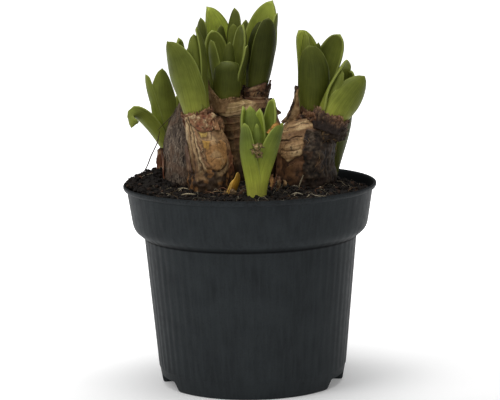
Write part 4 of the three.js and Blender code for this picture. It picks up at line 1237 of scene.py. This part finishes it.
# Torn strips that stand off the bulbs, by the courses of their left and right borders, colour and bend.
TORN_STRIPS = {
    "bulb_right": [
        ([(16.4, -6.5, 135), (20.4, -6.6, 140), (22.8, -6.4, 146.5), (24.2, -6, 151.6), (24.9, -5.2, 152.4)],
         [(26.4, -5.4, 135), (26.2, -5.8, 140), (25.9, -6.2, 146), (25.6, -6.2, 150), (25.3, -5.4, 151)],
         TAN, 0.8),
        ([(16.4, -7, 134.6), (19.8, -7.2, 139), (22, -7, 144), (23.4, -6.6, 149), (23.8, -6, 153.6)],
         [(18, -7.4, 134), (20.8, -7.8, 138.6), (23, -7.6, 144), (24.4, -7, 148.6), (25.8, -6.2, 153)],
         DARK_BROWN, 0.4),
        ([(9.4, -21, 103), (10.2, -21.6, 106.4), (9.8, -21, 109.6)],
         [(11.8, -21, 103), (12.6, -22, 106.6), (11.6, -21.4, 110.4)], ORANGE_TAN, 0.8),
        ([(12.6, -21.4, 103.4), (13.8, -22.2, 106), (13, -21.6, 108.4)],
         [(15, -21, 103.2), (16, -22, 106.4), (14.8, -21.4, 109.8)], BROWN, 0.8),
        ([(16.4, -20.4, 103), (17, -21.4, 105.4), (16.6, -21, 107.6)],
         [(18.6, -20, 103), (19, -21, 105), (18.4, -20.4, 106.6)], TAN, 0.7),
    ],
    "bulb_centre": [
        ([(-21.2, 0, 139), (-21.4, 0.5, 147), (-21.2, 1, 153), (-21.4, 1, 160)],
         [(-13, -4.2, 141), (-16, -3.2, 147), (-19, -2, 152.5), (-20.6, 0, 158)], TAN, 0.5),
        ([(8.4, -2, 146.6), (10.2, -2.6, 141.6), (12.4, -3.4, 137.4)],
         [(12.2, -1.6, 147), (13.6, -2.4, 143), (17, -3.2, 139)], DARK_BROWN, 0.6),
        ([(0.2, 1.4, 146.6), (0.6, 1.2, 148.4), (0.2, 1.4, 150)],
         [(6.6, 1.8, 146.4), (6.2, 2, 148.4), (6.8, 2.4, 150.2)], TAN, 0.5),
        ([(-2.4, 1.2, 149.8), (-1, 1, 151), (0.4, 1.6, 151.6)],
         [(8.8, 2.4, 150), (9.2, 2.6, 151.8), (9.4, 3, 154.6)], BROWN, 0.4),
        ([(-2.4, 0.4, 144.6), (-2, 0.2, 146), (-2.4, 0.6, 147.2)],
         [(9.6, 1.6, 144.2), (9, 1.8, 146), (9.6, 2, 147)], BROWN, 0.5),
    ],
    "bulb_front_left": [
        ([(-16.4, -8.6, 129), (-16.8, -9, 133), (-17, -9, 136), (-17.2, -8.6, 139)],
         [(-14.6, -7, 128.4), (-12.4, -7.6, 131), (-12.2, -7.6, 135), (-14.4, -8, 138.6)], PINK_TAN, 0.9),
    ],
    "bulb_back_left": [
        ([(-49, 14, 106), (-48.6, 14, 112), (-47.8, 14, 117), (-46.6, 14, 120.5)],
         [(-44.6, 13, 105), (-44.6, 13, 111), (-44.4, 13, 116), (-44.4, 13, 120)], RED_BROWN, 0.6),
    ],
}

# Crumbly lumps of skin and dirt round the right bulb's neck, by place, half sizes, colour and roughness.
CLUMPS = {
    "bulb_right": [
        ((41.6, -8.4, 129.6), (8.2, 8.0, 5.4), CRUST, 0.32),
        ((35.4, -9.6, 136.4), (5.6, 4.6, 4.2), BROWN, 0.5),
        ((29.6, -6.4, 136.8), (4.8, 3.0, 3.0), BROWN, 0.5),
        ((43.4, -15.2, 136.6), (4.4, 2.6, 2.4), BROWN, 0.5),
    ],
}

# How many fibres lie on each bulb's skin, and their two colours.
FIBRES = {
    "bulb_left": (170, PALE_PLUM, DARK_PLUM),
    "bulb_front_left": (26, CREAM, DARK_BROWN),
    "bulb_centre": (40, TAN, DARK_BROWN),
    "bulb_right": (60, TAN, DARK_BROWN),
    "bulb_back": (40, TAN, DARK_BROWN),
    "bulb_back_left": (20, TAN, DARK_BROWN),
}


def skin_fibres(shape, name, rng):
    """Fine fibres that lie on a bulb's skin."""
    count, pale, dark = FIBRES[name]
    for _ in range(count // FIBRE_DIVISOR):
        t, angle, long = 0.4 + 0.5 * rng.random(), TAU * rng.random(), 0.03 + 0.12 * rng.random()
        swing, s = rng.gauss(0, 0.14), np.linspace(0, 1, 8)
        course = np.clip(t + long * s, 0, 0.98)
        bend = angle + swing * s + 0.05 * np.sin(5 * s + angle)
        path = bulb_skin(name, course, bend, 0.45 + 0.5 * rng.random() * s)
        radius = THINNEST + 0.1 * rng.random()
        tube_patch(shape, path, radius, FIBRE_SIDES, skin=mix(pale, dark, rng.random() ** 0.7))


def collar_fibres(shape, name, rng):
    """Short fibres that stick out round a shoot's collar."""
    shoot, (height, _, flare, peak, rise) = SHOOTS[name], COLLARS[name]
    for _ in range(COLLAR_FIBRES):
        angle, out, up = TAU * rng.random(), 0.3 + 1.4 * rng.random(), 0.4 + 2.2 * rng.random()
        top = height + rise * peak_at(angle, peak) - 1.4
        s = np.linspace(0, 1, 7)
        wide = shoot["radius"] + 0.7 + flare * top + out * s ** 2
        turned = angle + rng.gauss(0, 0.25) * s
        path = to_shoot(stack(wide * np.cos(turned), wide * np.sin(turned), top + up * s), shoot)
        radius = THINNEST + 0.12 * rng.random()
        tube_patch(shape, path, radius, FIBRE_SIDES, skin=mix(BROWN, DARK_BROWN, rng.random()))


def make_bulb(name, material, slot):
    """A bulb's skin with its scraps, collars, torn strips, lumps and fibres."""
    shape = Shape()
    bulb_body(shape, name)
    for i, (t, angle, tall, wide, lift, colour) in enumerate(SCRAPS[name]):
        scrap_patch(shape, name, t, math.radians(angle), tall, wide, lift, colour, 11 * i + len(name))
    for shoot in BULBS[name]["shoots"]:
        for layer in range(3):
            collar_patch(shape, shoot, layer, 5 * layer + len(shoot))
    for i, (left, right, colour, bend) in enumerate(TORN_STRIPS.get(name, [])):
        strip_patch(shape, left, right, colour, 13 * i + 3, bend)
    for i, (at, radii, colour, rough) in enumerate(CLUMPS.get(name, [])):
        clump_patch(shape, at, radii, colour, 17 * i + 5, rough)
    rng = random.Random(len(name) + 3)
    skin_fibres(shape, name, rng)
    for shoot in BULBS[name]["shoots"]:
        collar_fibres(shape, shoot, rng)
    return make_piece(name + "_skin", shape, material, slot, [name])


def soil_form(x, y):
    """The soil's heaps, and the lumps all over it."""
    turn = TAU / LUMP_APART
    along, aside = turn * x + 1.7 * np.sin(turn * y / 2), turn * y + 1.1 * np.sin(turn * x / 2) + 0.8
    total = SOIL_LEVEL + LUMP_HEIGHT * np.sin(along) * np.sin(aside)
    for hx, hy, height, reach in HEAPS:
        total = total + height * np.exp(-((x - hx) ** 2 + (y - hy) ** 2) / (2 * reach ** 2))
    return total


def draw(n):
    """The model's repeatable draw between 0 and 1 for each whole number."""
    s = np.sin(n * 127.1 + 311.7) * 43758.5453
    return s - np.floor(s)


def soil_rings():
    """The heights of the model's soil, ring by ring from the wall in, and once more at the middle."""
    angle = angles_round(SOIL_STEPS)
    rows = []
    for row, share in enumerate(SOIL_RING_SHARES, 1):
        radius = share * SOIL_RADIUS
        crumb = SOIL_CRUMB * (2 * draw(row * 131 + np.arange(SOIL_STEPS)) - 1)
        rows.append(soil_form(radius * np.cos(angle), radius * np.sin(angle)) + crumb)
    return np.array([*rows, np.full(SOIL_STEPS, rows[-1].mean())])


# The pot's inner wall where the soil meets it, the soil's own edge, and its heights.
WALL_RADIUS = float(np.interp(SOIL_EDGE, *zip(*sorted((z, radius) for radius, z in POT_INSIDE))))
SOIL_RADIUS = WALL_RADIUS - 2 * GAP
SOIL_HEIGHTS = soil_rings()


def soil_height(x, y):
    """The height of the model's soil between its rings."""
    shares = np.array([*SOIL_RING_SHARES, 0])
    row = np.interp(-np.hypot(x, y) / SOIL_RADIUS, -shares, np.arange(len(shares)))
    step = np.mod(np.arctan2(y, x) / TAU, 1) * SOIL_STEPS
    i, j = np.minimum(row.astype(int), len(shares) - 2), step.astype(int) % SOIL_STEPS
    s, k, t = row - i, (j + 1) % SOIL_STEPS, step - np.floor(step)
    near = SOIL_HEIGHTS[i, j] * (1 - t) + SOIL_HEIGHTS[i, k] * t
    far = SOIL_HEIGHTS[i + 1, j] * (1 - t) + SOIL_HEIGHTS[i + 1, k] * t
    return near * (1 - s) + far * s


def soil_top(x, y):
    """The height of the crumbly surface."""
    flat = stack(x, y, 0)
    crumbs = 0.4 * fractal(flat / 5, 3, 71) + 1.1 * np.abs(fractal(flat / 1.9, 4, 73, 0.65))
    return soil_height(x, y) + 0.65 * crumbs - 0.35


def make_soil(material):
    """The soil's crumbly surface, closed along the pot's wall and floor."""
    rings, segments = SOIL_GRID
    share = np.linspace(1, 0.01, rings) ** 0.8
    r, a = np.meshgrid(share * SOIL_RADIUS, angles_round(segments), indexing="ij")
    x, y = r * np.cos(a), r * np.sin(a)
    walls = [(radius - GAP, z + GAP) for radius, z in reversed(POT_INSIDE[2:])]
    points = np.concatenate([lathe_points(walls, segments), stack(x, y, soil_top(x, y))])
    tone = 0.5 + 0.5 * fractal(points / 3, 2, 77)
    shape = Shape()
    shape.add(points, closed_faces(len(points), segments), tone=tone * 0.8)
    return make_piece("soil_surface", shape, material, "soil", ["soil"])


def ball_faces():
    """The corners and faces of a 20-sided ball."""
    g = (1 + 5 ** 0.5) / 2
    corners = [
        (-1, g, 0), (1, g, 0), (-1, -g, 0), (1, -g, 0), (0, -1, g), (0, 1, g),
        (0, -1, -g), (0, 1, -g), (g, 0, -1), (g, 0, 1), (-g, 0, -1), (-g, 0, 1),
    ]
    faces = [
        (0, 11, 5), (0, 5, 1), (0, 1, 7), (0, 7, 10), (0, 10, 11), (1, 5, 9), (5, 11, 4), (11, 10, 2),
        (10, 7, 6), (7, 1, 8), (3, 9, 4), (3, 4, 2), (3, 2, 6), (3, 6, 8), (3, 8, 9), (4, 9, 5),
        (2, 4, 11), (6, 2, 10), (8, 6, 7), (9, 8, 1),
    ]
    return unit(np.array(corners, float)), np.array(faces)


def finer(corners, faces):
    """A ball with each face split into four."""
    corners, made, middles = list(map(tuple, corners)), [], {}

    def middle(a, b):
        key = (min(a, b), max(a, b))
        if key not in middles:
            corners.append(tuple(unit(np.array(corners[a]) + np.array(corners[b]))))
            middles[key] = len(corners) - 1
        return middles[key]

    for a, b, c in faces.tolist():
        ab, bc, ca = middle(a, b), middle(b, c), middle(c, a)
        made += [(a, ab, ca), (b, bc, ab), (c, ca, bc), (ab, bc, ca)]
    return np.array(corners), np.array(made)


def in_bulb(name, x, y):
    """Whether a place on the soil lies under a bulb."""
    bx, by, rx, ry = belly_of(name)
    return ((x - bx) / (rx - 0.6)) ** 2 + ((y - by) / (ry - 0.6)) ** 2 < 1


def free_spot(rng, edge):
    """A place on the soil that no bulb stands on."""
    while True:
        r, a = edge * math.sqrt(rng.random()), TAU * rng.random()
        x, y = r * math.cos(a), r * math.sin(a)
        if not any(in_bulb(name, x, y) for name in BULBS):
            return x, y


def spilt_spot(rng):
    """A place among the crumbs that have spilt up to the lip at the left."""
    a, r = math.radians(rng.gauss(SPILT_ANGLE, SPILT_SPREAD)), SPILT_FROM + SPILT_WIDE * rng.random()
    heap = max(0, 1 - abs(math.degrees(a) - SPILT_HEAP) / SPILT_HEAP_HALF)
    z = SPILT_LEVEL + (r - SPILT_FROM) * 0.5 + 2.4 * heap * rng.random()
    return r * math.cos(a), r * math.sin(a), z


def make_crumbs(material):
    """Loose lumps of peat on the soil, larger and thicker on the heap at the left."""
    rng = random.Random(4)
    shape = Shape()
    plain = ball_faces()
    fine = finer(*plain)
    for i in range(CRUMBS):
        x, y = free_spot(rng, WALL_RADIUS - 1.5)
        size = CRUMB_LEAST + CRUMB_MORE * rng.random() ** 3
        if x < HEAP_LEFT_OF and rng.random() < 0.3:
            size *= 1.25
        corners, faces = fine if size > CRUMB_FINE else plain
        squash = np.array([1, 0.6 + 0.5 * rng.random(), 0.55 + 0.4 * rng.random()])
        turn = Quaternion([rng.gauss(0, 1) for _ in range(4)]).normalized().to_matrix()
        rough = 1 + 0.6 * noise(corners * 1.9 + i, 5)
        points = (corners * rough[:, None] * squash) @ np.array(turn).T * size
        if i < SPILT:
            x, y, z = spilt_spot(rng)
        else:
            z = float(soil_top(np.array(x), np.array(y))) + 0.25 * size
        shape.add(points + [x, y, z], [faces], tone=rng.random() ** 2)
    return make_piece("soil_crumbs", shape, material, "soil")


def tube_patch(shape, path, radius, sides, **values):
    """A thin round strand along a path, tapering to its ends."""
    rows = len(path)
    tangent = unit(np.gradient(path, axis=0))
    side = unit(np.cross(tangent, [0.31, 0.17, 0.93]))
    other = np.cross(tangent, side)
    thin = radius * (0.35 + 0.65 * np.sin(np.linspace(0.12, math.pi - 0.12, rows)))
    angle = angles_round(sides)
    ring = side[:, None, :] * np.cos(angle)[None, :, None] + other[:, None, :] * np.sin(angle)[None, :, None]
    points = path[:, None, :] + ring * thin[:, None, None]
    shape.add(points, closed_faces(rows, sides), **values)


# The colours of straw, dry bits and the orange rim.
PALE_STRAW, STRAW_BROWN, DARK_STRAW = linear(168, 156, 128), linear(128, 104, 72), linear(74, 54, 40)
RED_STRAW, WHITE_STRAW = linear(112, 74, 50), linear(190, 180, 156)
STRAW = [PALE_STRAW, STRAW_BROWN, DARK_STRAW, RED_STRAW, WHITE_STRAW]
DRIED, RIM = linear(168, 148, 100), linear(176, 128, 56)

# Single strands by their course, thickness and colour: the thread at the left, a line over the leaves'
# feet there, a stiff pale stalk beside the right bulb, and the long straws in front.
STRANDS = [
    ([(-46, 10, 129.5), (-47.6, 10, 123), (-51, 10, 116), (-53.6, 10, 110), (-58.5, 10, 104)],
     0.36, DARK_STRAW),
    ([(-47, 8, 130), (-44, 8, 133), (-40, 8, 137), (-36.5, 8, 141.5)], 0.22, DARK_STRAW),
    ([(24.5, -24, 103.4), (25.6, -24, 106.6), (27, -24, 110)], 0.35, PALE_STRAW),
    ([(-34, -40, 103.4), (-31, -41, 104), (-27, -41.5, 103.8)], 0.42, PALE_STRAW),
    ([(-36, -30, 105), (-33, -32, 105.6), (-30.5, -33, 105.2)], 0.25, PALE_STRAW),
    ([(-20.5, -40, 104), (-16, -41.5, 105.2), (-12, -40.5, 104.6)], 0.22, STRAW_BROWN),
    ([(-17, -36, 104.4), (-13.6, -38, 106.4), (-10.4, -39.6, 105)], 0.2, RED_STRAW),
    ([(10.5, -34, 104), (12.4, -33.4, 108), (13.6, -32, 112)], 0.5, RED_STRAW),
    ([(13, -36, 103.8), (15, -36.6, 106.6), (14.6, -37, 109.6)], 0.45, STRAW_BROWN),
    ([(20.5, -42, 103), (23, -43.4, 104), (26, -44, 103.4)], 0.2, WHITE_STRAW),
]

# Curled dry bits that cling to the front shoot, the orange rim behind its right leaf, and husks at the
# yellow shoot's foot: the courses of their left and right borders, colour, bend and raggedness.
DRIED_BITS = [
    ([(0.6, -45, 126.4), (1.2, -46.2, 125.4), (1.6, -45.6, 123.6)],
     [(2.2, -45.2, 127), (2.6, -46.6, 125.4), (3, -45.8, 124)], DRIED, 0.9, 0.9),
    ([(1.8, -45.2, 129), (2.6, -46.4, 127.4), (3, -45.6, 125.6)],
     [(4.2, -44.6, 129.4), (4.6, -46.2, 127.6), (4.2, -46, 125.4)], DRIED, 0.9, 0.9),
    ([(4.6, -44.8, 129.4), (5.2, -46.2, 128), (5, -45.6, 126.4)],
     [(6.6, -44.8, 129), (7, -46, 127.6), (7.6, -45.2, 126.8)], DRIED, 0.9, 0.9),
    ([(2.8, -45.2, 126), (3, -46.6, 124.4), (2.8, -45.8, 122)],
     [(4.6, -45.2, 126), (4.8, -46.6, 124.2), (4, -46, 121.6)], DRIED, 0.9, 0.9),
    ([(4.8, -45.2, 126), (5.2, -46.4, 124), (5, -45.6, 122.2)],
     [(6.8, -45.2, 125), (6.6, -46.2, 123.4), (6.4, -45.4, 121.8)], DRIED, 0.9, 0.9),
    ([(8.6, -41, 134), (11, -41, 136.8), (13.8, -41, 139.8)],
     [(11, -41.6, 132.8), (13.2, -41.8, 135.4), (15.6, -42, 138.4)], RIM, 0.4, 0.3),
    ([(-9.4, -38.6, 102.6), (-9.8, -39.2, 104.6), (-8.8, -38.8, 106.6)],
     [(-7, -38.2, 102.6), (-6.8, -39, 104), (-7.4, -38.6, 105.6)], BROWN, 0.3, 1.0),
    ([(-5.8, -38.4, 102.6), (-5, -39, 104.4), (-3.6, -38.6, 106)],
     [(-3.8, -38, 102.6), (-3, -38.8, 103.8), (-2.4, -38.4, 105)], BROWN, 0.3, 1.0),
    ([(-13.8, -37, 102.6), (-13.4, -37.6, 103.8), (-12.8, -37.2, 105.2)],
     [(-11.2, -37.2, 102.6), (-11.2, -37.8, 103.6), (-11.6, -37.4, 104.8)], TAN, 0.3, 0.9),
]


def make_straw(material):
    """Fibres and bits of straw that lie on the soil."""
    rng = random.Random(9)
    shape = Shape()
    edge = WALL_RADIUS - 3
    for _ in range(STRAWS):
        x, y = free_spot(rng, edge)
        length, turn, curl = 2 + 9 * rng.random() ** 2, TAU * rng.random(), rng.gauss(0, 0.12)
        s = np.linspace(-0.5, 0.5, 9)
        heading = turn + curl * s * length
        px = x + np.cumsum(np.cos(heading)) * length / 9
        py = y + np.cumsum(np.sin(heading)) * length / 9
        scale = np.minimum(1, edge / np.maximum(np.hypot(px, py), 1e-6))
        px, py = px * scale, py * scale
        arch = 0.5 + rng.random() * 1.6 * (1 - (2 * s) ** 2) + rng.gauss(0, 0.5) * s * 2
        pz = soil_top(px, py) + np.maximum(0.1, arch)
        radius = THINNEST + 0.28 * rng.random() ** 4
        tint = STRAW[int(rng.random() ** 1.3 * len(STRAW))] * (0.3 + 0.6 * rng.random())
        tube_patch(shape, stack(px, py, pz), radius, STRAW_SIDES, skin=tint)
    for i, (left, right, colour, bend, ragged) in enumerate(DRIED_BITS):
        strip_patch(shape, left, right, colour, 41 + 7 * i, bend, ragged, 0.6)
    for path, radius, tint in STRANDS:
        tube_patch(shape, course_of(path, np.linspace(0, 1, 24)), radius, STRAW_SIDES, skin=tint)
    return make_piece("soil_straw", shape, material, "soil")


# The pot's section by radius and height, with its corners rounded: foot, shoulder, lip and inside.
FLOOR_EDGE = [(44.4, FLOOR_UNDER), (45, 2.3)]
FOOT_RING = [
    (FOOT_INNER, 0.4), (FOOT_INNER + 0.4, 0), (45.9, 0), (46.4, 0.3), (46.8, 1.2), (48.15, 8.5), (48.4, 9.0),
    (48.5, 9.3),
]
SHOULDER = [
    (54.65, 76.05), (54.8, 76.25), (58.2, 79.1), (59.1, 80.1), (59.7, 81.1), (60.1, 82.1), (60.4, 83.2),
]
LIP = [
    (63.2, 100.6), (63.9, 100.8), (64.6, 101.2), (64.95, 101.9), (65, 102.7), (64.85, 103.25), (64.5, 103.5),
]
INSIDE = [
    (64.2, 103.45), (63.8, 103.2), (63.3, 102.4), (62, 101), (59.2, 83), (58.4, 81.4), (56, 80), (53.6, 79),
    (46.4, 5.2), (45.8, 4.6), (45, 4.5),
]
# The straight walls of the body and the collar, each from its lower to its upper end.
BODY_WALL, COLLAR_WALL = ((48.5, 9.4), (54.6, 76)), ((60.4, 82.8), (63.1, 100.4))


def wall(low, high, shares):
    """Points of a straight wall between two points of the section."""
    return [(low[0] + (high[0] - low[0]) * s, low[1] + (high[1] - low[1]) * s) for s in shares]


def pot_outline():
    """The pot's section from under the floor, round the lip, to the floor's top."""
    body = wall(*BODY_WALL, np.linspace(0.03, 0.99, 20))
    collar = wall(*COLLAR_WALL, np.linspace(0.1, 0.97, 10))
    under, top = [(r, FLOOR_UNDER) for r in (0.5, 22)], [(r, FLOOR_TOP) for r in (22, 0.5)]
    return under + FLOOR_EDGE + FOOT_RING + body + SHOULDER + collar + LIP + INSIDE + top


def outward_faces(thing):
    """Turns the faces of a closed mesh to point out."""
    work = bmesh.new()
    work.from_mesh(thing.data)
    bmesh.ops.recalc_face_normals(work, faces=work.faces)
    work.to_mesh(thing.data)
    work.free()


def block(rings):
    """A closed block from rings of points, to be cut from the pot or joined to it."""
    rings = np.asarray(rings)
    mesh = bpy.data.meshes.new("block")
    mesh.from_pydata((rings.reshape(-1, 3) * MM).tolist(), [], face_list(closed_faces(*rings.shape[:2])))
    thing = put("block", mesh)
    outward_faces(thing)
    return thing


def swept_block(angles, sections):
    """A block that follows a circle, with a section of radius and height at each angle."""
    rings = []
    for a, section in zip(angles, sections):
        rings.append([(r * math.cos(a), r * math.sin(a), z) for r, z in section])
    return block(rings)


def notch_block(middle):
    """A block that cuts a round-cornered notch in the foot ring."""
    share = np.linspace(-0.5, 0.5, NOTCH_STEPS)
    tops = NOTCHES["height"] * np.maximum(0.04, smooth(6.5 * (0.5 - np.abs(share))))
    inner, outer = NOTCHES["inner"], NOTCHES["outer"]
    sections = [[(inner, -1), (inner, top), (outer, top), (outer, -1)] for top in tops]
    return swept_block(np.radians(middle + NOTCHES["span"] * share), sections)


def drain_block(i):
    """A round block that cuts a drain hole in the floor."""
    angle = i / DRAINS["count"] * TAU + math.pi / 2
    centre = np.array([math.cos(angle), math.sin(angle), 0]) * DRAINS["circle"]
    return block(lathe_points([(DRAINS["radius"], -1), (DRAINS["radius"], 8)], DRAIN_SEGMENTS) + centre)


def leg_block(middle):
    """A short leg under the floor, with its lower corners rounded off."""
    inner, outer, top = LEGS["inner"], LEGS["outer"], LEGS["top"]
    section = [
        (inner, top), (inner, 1.4), (inner + 0.6, 0.5), (inner + 1.8, 0.05), (outer - 0.8, 0.05),
        (outer, 0.6), (outer + 0.4, top),
    ]
    angles = np.radians(middle + LEGS["half_angle"] * np.linspace(-1, 1, LEG_STEPS))
    return swept_block(angles, [section] * LEG_STEPS)


def pot_points(outline, peak):
    """The pot's rings of points, with shallow upright flutes outside."""
    points = lathe_points(outline, POT_SEGMENTS)
    angle = angles_round(POT_SEGMENTS)
    for i, (radius, z) in enumerate(outline[:peak]):
        strength = smooth((z - FLUTES_FROM) / 1.5) * smooth((FLUTES_TO - z) / 1.5)
        strength = strength * (1 - 0.55 * smooth((z - COLLAR_FROM) / 2))
        strength = strength * (1 + 0.5 * np.sin(7 * angle + z / 50) * np.sin(12 * angle))
        grow = 1 + strength * FLUTE_DEPTH / radius * np.cos(POT_FLUTES * angle)
        points[i, :, :2] *= grow[:, None]
    return points


def shape_with(thing, blocks):
    """Cuts blocks from a piece or joins them to it, and takes the blocks away."""
    for operation, tool in blocks:
        step = thing.modifiers.new(operation, "BOOLEAN")
        step.operation, step.object, step.solver = operation, tool, "MANIFOLD"
    bpy.context.view_layer.update()
    depsgraph = bpy.context.evaluated_depsgraph_get()
    finished = bpy.data.meshes.new_from_object(thing.evaluated_get(depsgraph))
    thing.modifiers.clear()
    thing.data = finished
    for _, tool in blocks:
        bpy.data.objects.remove(tool)
    finished.set_sharp_from_angle(angle=math.radians(SHARP_ANGLE))


def make_pot(material):
    """The pot, with soil dust on its lip, and painted shade on its inside, on its lip's top and as a shadow
    line under its collar.
    """
    outline = pot_outline()
    peak = max(range(len(outline)), key=lambda i: outline[i][1])
    points = pot_points(outline, peak)
    z = points[..., 2]
    outer = (np.arange(len(outline)) < peak + 3)[:, None] * np.ones_like(z)
    dirt = outer * smooth((z - LIP_DUST_FROM) / 4) * 0.9 + 0.25 + (1 - outer) * 0.6
    inside = 0.95 * (1 - outer) * smooth((INSIDE_TOP - z) / 0.8) + 0.55 * smooth((z - LIP_SHADE_FROM) / 0.6)
    inside = inside + 0.9 * outer * smooth((z - SHADOW_FROM) / 0.3) * smooth((COLLAR_FROM - z) / 0.5)
    shape = Shape()
    shape.add(points, closed_faces(len(outline), POT_SEGMENTS), dirt=dirt, inside=inside)
    pot = make_piece("pot_shell", shape, material, "pot", ["pot"])
    outward_faces(pot)
    blocks = [("DIFFERENCE", notch_block(a)) for a in NOTCHES["angles"]]
    blocks += [("DIFFERENCE", drain_block(i)) for i in range(DRAINS["count"])]
    blocks += [("UNION", leg_block(a)) for a in LEGS["angles"]]
    shape_with(pot, blocks)
    return pot


FLOOR_HALF, WORLD_STRENGTH = 6, 0.22


def make_floor():
    """The white floor, which isn't part of the object."""
    mesh = bpy.data.meshes.new("floor")
    corners = [(x * FLOOR_HALF, y * FLOOR_HALF, 0) for x, y in ((-1, -1), (1, -1), (1, 1), (-1, 1))]
    mesh.from_pydata(corners, [], [(0, 1, 2, 3)])
    mesh.materials.append(floor_material())
    put("floor", mesh)


# The lights by name: where they hang, how wide and tall they are, and their power.
LIGHTS_AIM = (0, 0, 0.12)
LIGHTS = {
    "key": ((-0.7, -0.55, 0.9), (0.6, 0.6), 3.4),
    "front": ((0.2, -1.5, 0.3), (1.2, 0.8), 2.4),
    "top": ((0.0, -0.05, 1.3), (0.9, 0.9), 13),
    "left": ((-1.1, 0.35, 0.35), (0.5, 0.9), 1.5),
    "right": ((1.1, 0.35, 0.35), (0.5, 0.9), 0.35),
}


def aim(thing, at, towards):
    """Places a light or camera and points it at a place."""
    thing.location = at
    thing.rotation_mode = "QUATERNION"
    thing.rotation_quaternion = (Vector(towards) - Vector(at)).to_track_quat("-Z", "Y")


def make_lights():
    """Soft lights round the plant and an even glow from everywhere."""
    for name, (at, size, power) in LIGHTS.items():
        light = bpy.data.lights.new(name, "AREA")
        light.shape, light.size, light.size_y = "RECTANGLE", size[0], size[1]
        light.energy = power
        aim(put(name, light), at, LIGHTS_AIM)
    world = bpy.data.worlds.new("studio")
    world.use_nodes = True
    back = world.node_tree.nodes["Background"]
    back.inputs["Color"].default_value = (1, 1, 1, 1)
    back.inputs["Strength"].default_value = WORLD_STRENGTH
    bpy.context.scene.world = world


# The camera: how far it stands from a point on the pot's axis, how high, where it aims, and its tilt.
CAMERA = dict(distance=1100, about=50, elevation=11.15, aim=94.07, roll=-0.96, focal=2122.8)
FRAME_WIDTH, SENSOR = 500, 36


def make_camera():
    """The photo's own view."""
    data = bpy.data.cameras.new("camera")
    data.sensor_width = SENSOR
    data.lens = CAMERA["focal"] / FRAME_WIDTH * SENSOR
    camera = put("camera", data)
    rise, away = math.radians(CAMERA["elevation"]), CAMERA["distance"]
    at = Vector((0, -away * math.cos(rise), CAMERA["about"] + away * math.sin(rise))) * MM
    aim(camera, at, (0, 0, CAMERA["aim"] * MM))
    tilt = Quaternion((0, 0, 1), math.radians(CAMERA["roll"]))
    camera.rotation_quaternion = camera.rotation_quaternion @ tilt
    bpy.context.scene.camera = camera


# The colours of leaves from foot to tip.
LEAF_STOPS = [
    (0.0, linear(172, 171, 84)), (0.17, linear(142, 147, 61)), (0.4, linear(114, 121, 48)),
    (0.75, linear(93, 100, 40)), (1.0, linear(106, 113, 46)),
]
YOUNG_STOPS = [
    (0.0, linear(190, 188, 84)), (0.28, linear(164, 170, 66)), (0.55, linear(116, 126, 48)),
    (0.82, linear(86, 97, 40)), (0.94, linear(92, 103, 44)), (1.0, linear(130, 139, 60)),
]
PALE_STOPS = [
    (0.0, linear(120, 88, 36)), (0.4, linear(170, 122, 44)), (0.7, linear(190, 142, 50)),
    (0.9, linear(170, 128, 56)), (1.0, linear(120, 84, 40)),
]

make_camera()
make_lights()
make_floor()
make_pot(pot_material())
peat = soil_material()
make_soil(peat)
make_crumbs(peat)
make_straw(straw_material())
upright_skin = tunic_material("fibrous_skin", (1, 1, 12), 0.35, 0.7)
paper_skin = tunic_material("papery_skin", (2.5, 2.5, 5), 0.3, 0.6)
for bulb_name in BULBS:
    dark = bulb_name == "bulb_left"
    make_bulb(bulb_name, upright_skin if dark else paper_skin, "dark_bulb" if dark else "tan_bulb")
green = leaf_material("leaf", LEAF_STOPS, linear(134, 143, 60), linear(138, 146, 74), 0.42)
young = leaf_material("young_leaf", YOUNG_STOPS, linear(128, 142, 48), linear(150, 160, 80), 0.42)
pale = leaf_material("pale_shoot", PALE_STOPS, linear(214, 170, 80), linear(214, 176, 92), 0.45)
LEAF_KINDS = {"shoot_front": (young, "young_leaf"), "shoot_yellow": (pale, "pale_shoot")}
for shoot_name in SHOOTS:
    make_shoot(shoot_name, *LEAF_KINDS.get(shoot_name, (green, "leaf")))

bpy.context.scene.view_settings.view_transform = "Standard"
